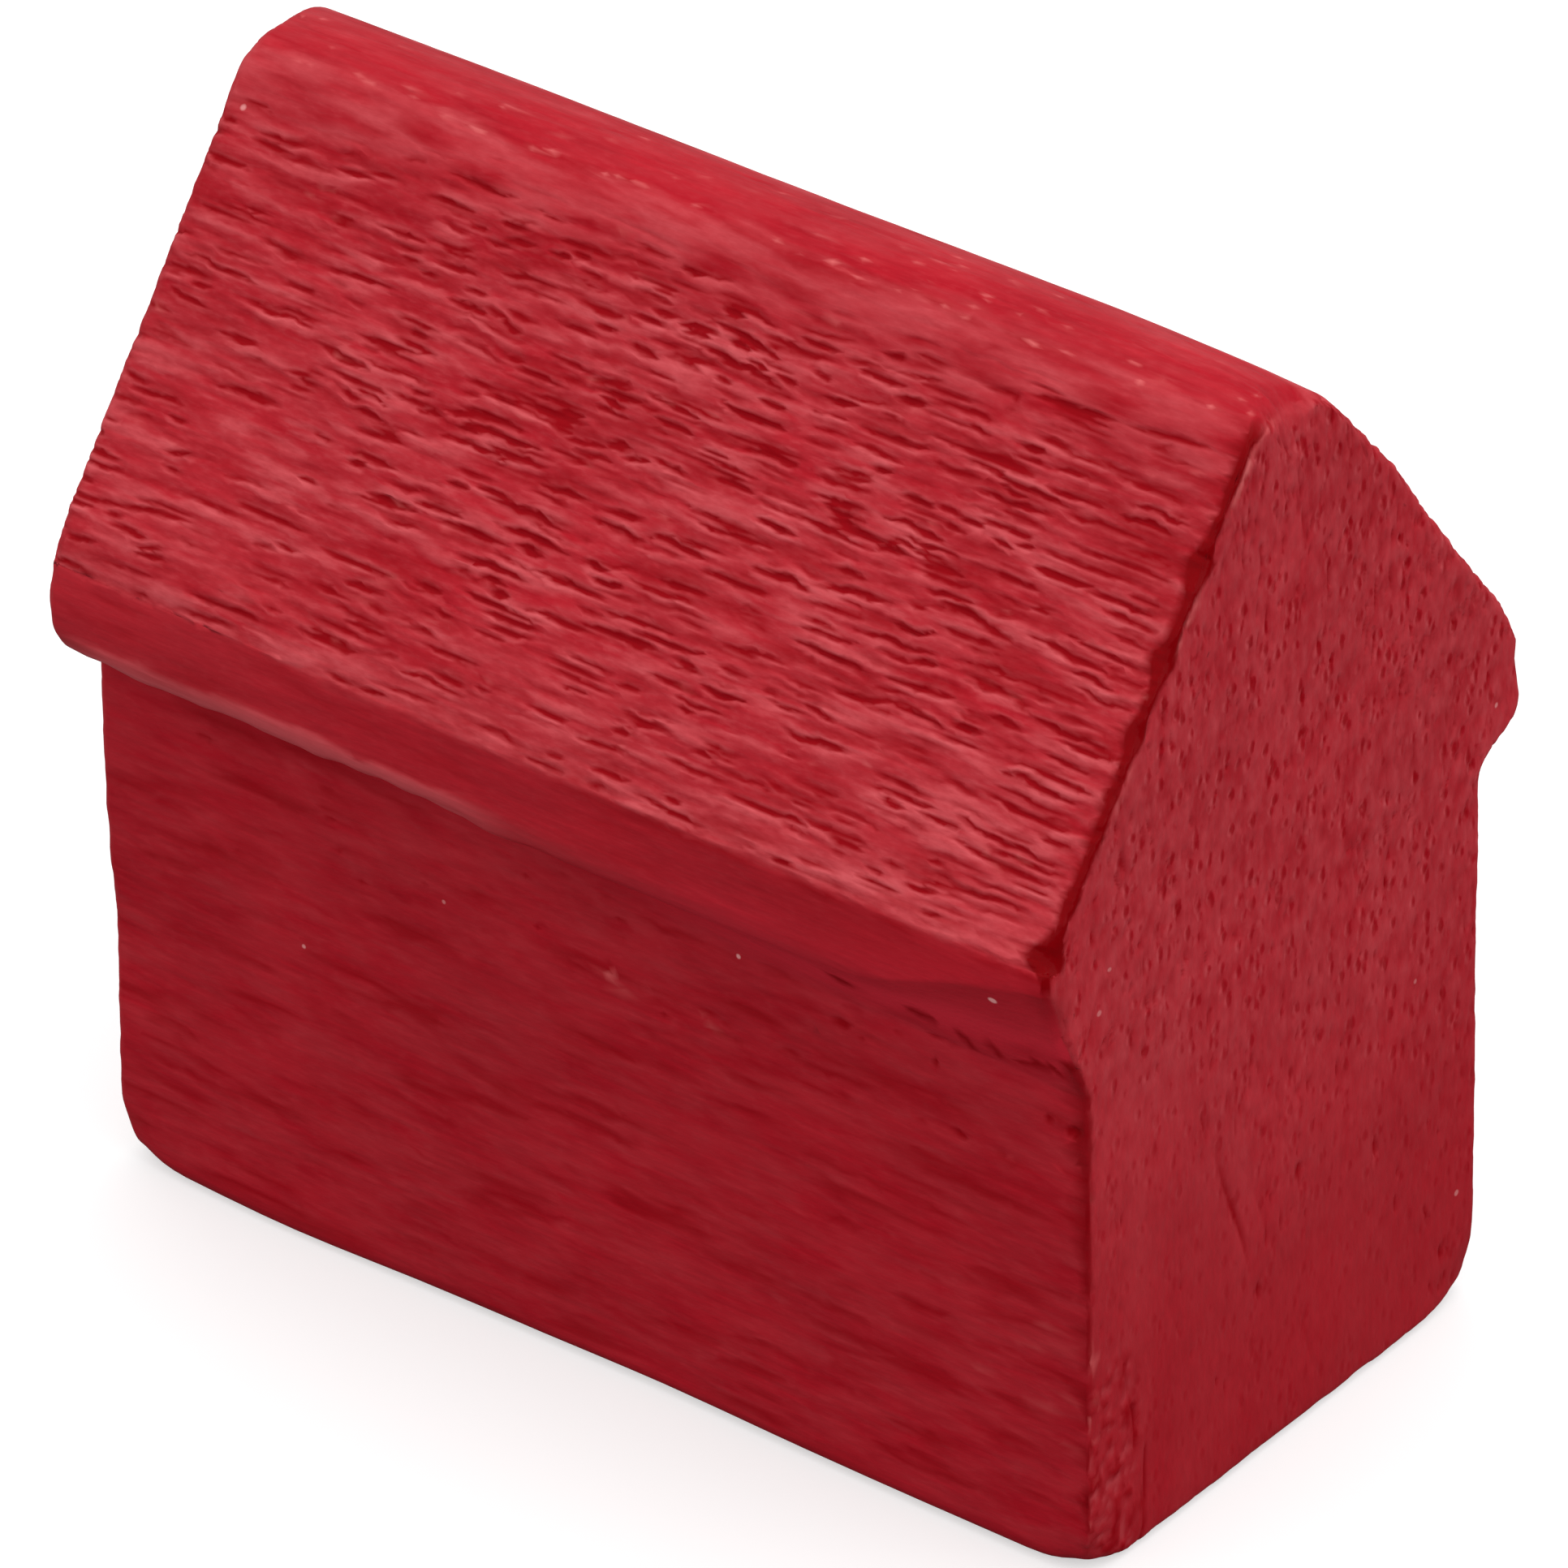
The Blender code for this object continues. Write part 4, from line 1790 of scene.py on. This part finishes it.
        # Edges run either way each time, so they are turned alike too.
        pairs = np.empty(len(mesh.edges) * 2, np.int32)
        mesh.edges.foreach_get("vertices", pairs)
        mesh.edges.foreach_set("vertices", np.sort(pairs.reshape(-1, 2), axis=1).ravel())
        LOG.info("skin: %d points, %d faces", len(mesh.vertices), len(mesh.polygons))
        marks = self.carve(mesh)
        mesh.vertices.foreach_set("co", (marks.pop("points") * MM).astype(np.float32).ravel())
        for name, values in marks.items():
            layer = mesh.attributes.new(name, "FLOAT", "POINT")
            layer.data.foreach_set("value", np.clip(values, 0.0, 1.0).astype(np.float32))
        house = bpy.data.objects.new("house", mesh)
        bpy.context.scene.collection.objects.link(house)
        self.thin(house)
        self.unroll(house.data)
        house.data.shade_smooth()
        house.data.materials.append(self.finish.material(self.speck_places()))
        return house

    def unroll(self, mesh: bpy.types.Mesh) -> None:
        """Lay the skin out flat for baking: both long sides and both gables, side by side, at one scale.

        Args:
            mesh: The finished mesh, in metres, which gets the map.
        """
        points = np.empty(len(mesh.vertices) * 3, np.float32)
        mesh.vertices.foreach_get("co", points)
        points = points.reshape(-1, 3) / MM
        kept = {}
        for name in ("gable", "girth"):
            kept[name] = np.empty(len(mesh.vertices), np.float32)
            mesh.attributes[name].data.foreach_get("value", kept[name])
        corner = np.empty(len(mesh.loops), np.int32)
        mesh.loops.foreach_get("vertex_index", corner)
        sizes = np.empty(len(mesh.polygons), np.int32)
        mesh.polygons.foreach_get("loop_total", sizes)
        face = np.repeat(np.arange(len(sizes)), sizes)
        middle = [(np.bincount(face, values[corner]) / sizes)[face]
                  for values in (points[:, 0], points[:, 1], kept["gable"])]
        near = middle[0] > 0
        back = middle[1] > 0
        flat = middle[2] > 0.5
        x, y, z = points[corner].T
        reach = self.top * kept["girth"][corner]
        across = np.where(back, y, -y) < 0
        reach = np.where(across, np.where(reach > self.top / 2, 2 * self.top - reach, -reach), reach)
        half = self.length / 2
        gable_u = self.top + 3 * self.map_margin + self.profile.nose.y + y
        u = np.where(flat, gable_u, self.map_margin + reach)
        gable_v = np.where(near, 0.0, 2 * half + self.map_margin) + z
        side_v = np.where(back, half, 3 * half + self.map_margin) + x
        v = self.map_margin + np.where(flat, gable_v, side_v)
        layer = mesh.uv_layers.new(name=UV_LAYER)
        sheet = np.stack([u, v], axis=1) / (4 * half + 3 * self.map_margin)
        layer.data.foreach_set("uv", sheet.astype(np.float32).ravel())

    def speck_places(self) -> list[tuple[Vector, float, float]]:
        """Find where the pale specks lie in space.

        Returns:
            Place, radius and paleness of each, in metres.
        """
        found = []
        for speck in self.side_specks:
            climb = np.array([-speck.place[1]])
            y, z = (self.outline(climb) + self.filled(np.array([speck.place[0]]), climb))[0]
            found.append((Vector((speck.place[0], y, z)) * MM, speck.radius * MM, speck.pale))
        for speck in self.gable_specks:
            place = Vector((self.length / 2, *speck.place))
            found.append((place * MM, speck.radius * MM, speck.pale))
        return found

    def thin(self, house: bpy.types.Object) -> None:
        """Collapse the points that the shape doesn't need, until few enough triangles are left.

        Args:
            house: The carved piece, whose mesh is replaced.
        """
        modifier = house.modifiers.new("thin", "DECIMATE")
        modifier.ratio = self.most_triangles / (2 * len(house.data.polygons))
        evaluated = house.evaluated_get(bpy.context.evaluated_depsgraph_get())
        thinned = bpy.data.meshes.new_from_object(evaluated)
        thick = house.data
        house.modifiers.clear()
        house.data = thinned
        bpy.data.meshes.remove(thick)


@dataclass(frozen=True)
class Lamp:
    """A square soft light: its name, its place and edge length in metres, and its power in watts."""

    name: str
    place: Triple
    size: float
    watts: float


@dataclass(frozen=True)
class Studio:
    """Camera at the photograph's angle, pale floor and soft light."""

    azimuth: float = 38.812
    elevation: float = 32.523
    roll: float = -1.058
    distance: float = 222.41 * MM
    focal_pixels: float = 17264.4
    frame_pixels: float = 1932.0
    target: Triple = (0.0, 0.021 * MM, 8.358 * MM)
    sensor: float = 36.0
    floor_size: float = 1.5
    floor_drop: float = 0.02 * MM
    floor_grey: float = 0.55
    floor_glow: float = 0.52
    floor_bounce: float = 0.2
    sky_strength: float = 1.10
    sky_fade: Pair = (0.47, 0.51)
    sky_greys: Pair = (0.05, 1.0)
    aim: Triple = (0.0, 0.0, 9 * MM)
    lamps: tuple[Lamp, ...] = (
        Lamp("overhead", (0.05, 0.06, 0.45), 0.35, 0.42),
        Lamp("gable_side", (0.50, 0.05, 0.20), 0.40, 0.28),
    )

    def camera(self) -> bpy.types.Object:
        """Set up the camera.

        Returns:
            The camera, which looks at the target with the photograph's field of view.
        """
        data = bpy.data.cameras.new("camera")
        data.sensor_width = self.sensor
        data.lens = self.sensor * self.focal_pixels / self.frame_pixels
        data.clip_start = 1 * MM
        data.clip_end = 100.0
        az = radians(self.azimuth)
        el = radians(self.elevation)
        back = Vector((sin(az) * cos(el), -cos(az) * cos(el), sin(el)))
        right = Vector((cos(az), sin(az), 0.0))
        up = back.cross(right)
        turn = radians(self.roll)
        tilted_right = cos(turn) * right + sin(turn) * up
        tilted_up = cos(turn) * up - sin(turn) * right
        place = Matrix((tilted_right, tilted_up, back)).transposed().to_4x4()
        place.translation = Vector(self.target) + back * self.distance
        camera = bpy.data.objects.new("camera", data)
        camera.matrix_world = place
        bpy.context.scene.collection.objects.link(camera)
        bpy.context.scene.camera = camera
        return camera

    def floor(self) -> bpy.types.Object:
        """Lay a wide pale floor under the house, which doesn't throw light back up at it.

        Returns:
            The floor, marked as stage.
        """
        sheet = bmesh.new()
        bmesh.ops.create_grid(sheet, x_segments=1, y_segments=1, size=self.floor_size)
        mesh = bpy.data.meshes.new("floor")
        sheet.to_mesh(mesh)
        sheet.free()
        mesh.materials.append(self.floor_material())
        floor = bpy.data.objects.new("floor", mesh)
        floor.location = (0.0, 0.0, -self.floor_drop)
        bpy.context.scene.collection.objects.link(floor)
        return floor

    def floor_material(self) -> bpy.types.Material:
        """Make a floor that is pale to the camera but dull to the house, so that it throws little light up.

        Returns:
            The floor's material.
        """
        material = bpy.data.materials.new("pale_floor")
        material.use_nodes = True
        tree = material.node_tree
        pale = tree.nodes["Principled BSDF"]
        pale.inputs["Base Color"].default_value = (*[self.floor_grey] * 3, 1.0)
        pale.inputs["Roughness"].default_value = 0.9
        pale.inputs["Specular IOR Level"].default_value = 0.0
        pale.inputs["Emission Color"].default_value = (1.0, 1.0, 1.0, 1.0)
        pale.inputs["Emission Strength"].default_value = self.floor_glow
        dull = tree.nodes.new("ShaderNodeBsdfDiffuse")
        dull.inputs["Color"].default_value = (*[self.floor_bounce] * 3, 1.0)
        path = tree.nodes.new("ShaderNodeLightPath")
        choose = tree.nodes.new("ShaderNodeMixShader")
        tree.links.new(path.outputs["Is Camera Ray"], choose.inputs["Fac"])
        tree.links.new(dull.outputs["BSDF"], choose.inputs[1])
        tree.links.new(pale.outputs["BSDF"], choose.inputs[2])
        tree.links.new(choose.outputs["Shader"], tree.nodes["Material Output"].inputs["Surface"])
        return material

    def sky(self) -> None:
        """Fill the world with soft light that fades out below the horizon."""
        world = bpy.data.worlds.new("studio")
        world.use_nodes = True
        bpy.context.scene.world = world
        tree = world.node_tree
        place = tree.nodes.new("ShaderNodeTexCoord")
        split = tree.nodes.new("ShaderNodeSeparateXYZ")
        fade = tree.nodes.new("ShaderNodeValToRGB")
        for stop, position, grey in zip(fade.color_ramp.elements, self.sky_fade, self.sky_greys):
            stop.position = position
            stop.color = (grey, grey, grey, 1.0)
        lift = tree.nodes.new("ShaderNodeMapRange")
        lift.inputs["From Min"].default_value = -1.0
        tree.links.new(place.outputs["Generated"], split.inputs["Vector"])
        tree.links.new(split.outputs["Z"], lift.inputs["Value"])
        tree.links.new(lift.outputs["Result"], fade.inputs["Fac"])
        background = tree.nodes["Background"]
        tree.links.new(fade.outputs["Color"], background.inputs["Color"])
        background.inputs["Strength"].default_value = self.sky_strength

    def hang(self, lamp: Lamp) -> bpy.types.Object:
        """Hang a lamp and point it at the house.

        Args:
            lamp: The lamp to hang.

        Returns:
            The light.
        """
        data = bpy.data.lights.new(lamp.name, "AREA")
        data.size = lamp.size
        data.energy = lamp.watts
        light = bpy.data.objects.new(lamp.name, data)
        light.location = lamp.place
        toward = Vector(self.aim) - Vector(lamp.place)
        light.rotation_euler = toward.to_track_quat("-Z", "Y").to_euler()
        bpy.context.scene.collection.objects.link(light)
        return light


def main() -> None:
    """Build the house and then the studio round it."""
    logging.basicConfig(level=logging.INFO, format="%(name)s: %(message)s")
    house = HouseBlock().build()
    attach(house, BODY)
    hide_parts(NODE)
    LOG.info("piece %s: %d faces", house.name, len(house.data.polygons))
    studio = Studio()
    studio.camera()
    studio.floor()
    studio.sky()
    for lamp in studio.lamps:
        studio.hang(lamp)
    bpy.context.scene.view_settings.view_transform = "Standard"
    LOG.info("studio: camera, floor, sky and %d lamps", len(studio.lamps))


if __name__ == "__main__":
    main()
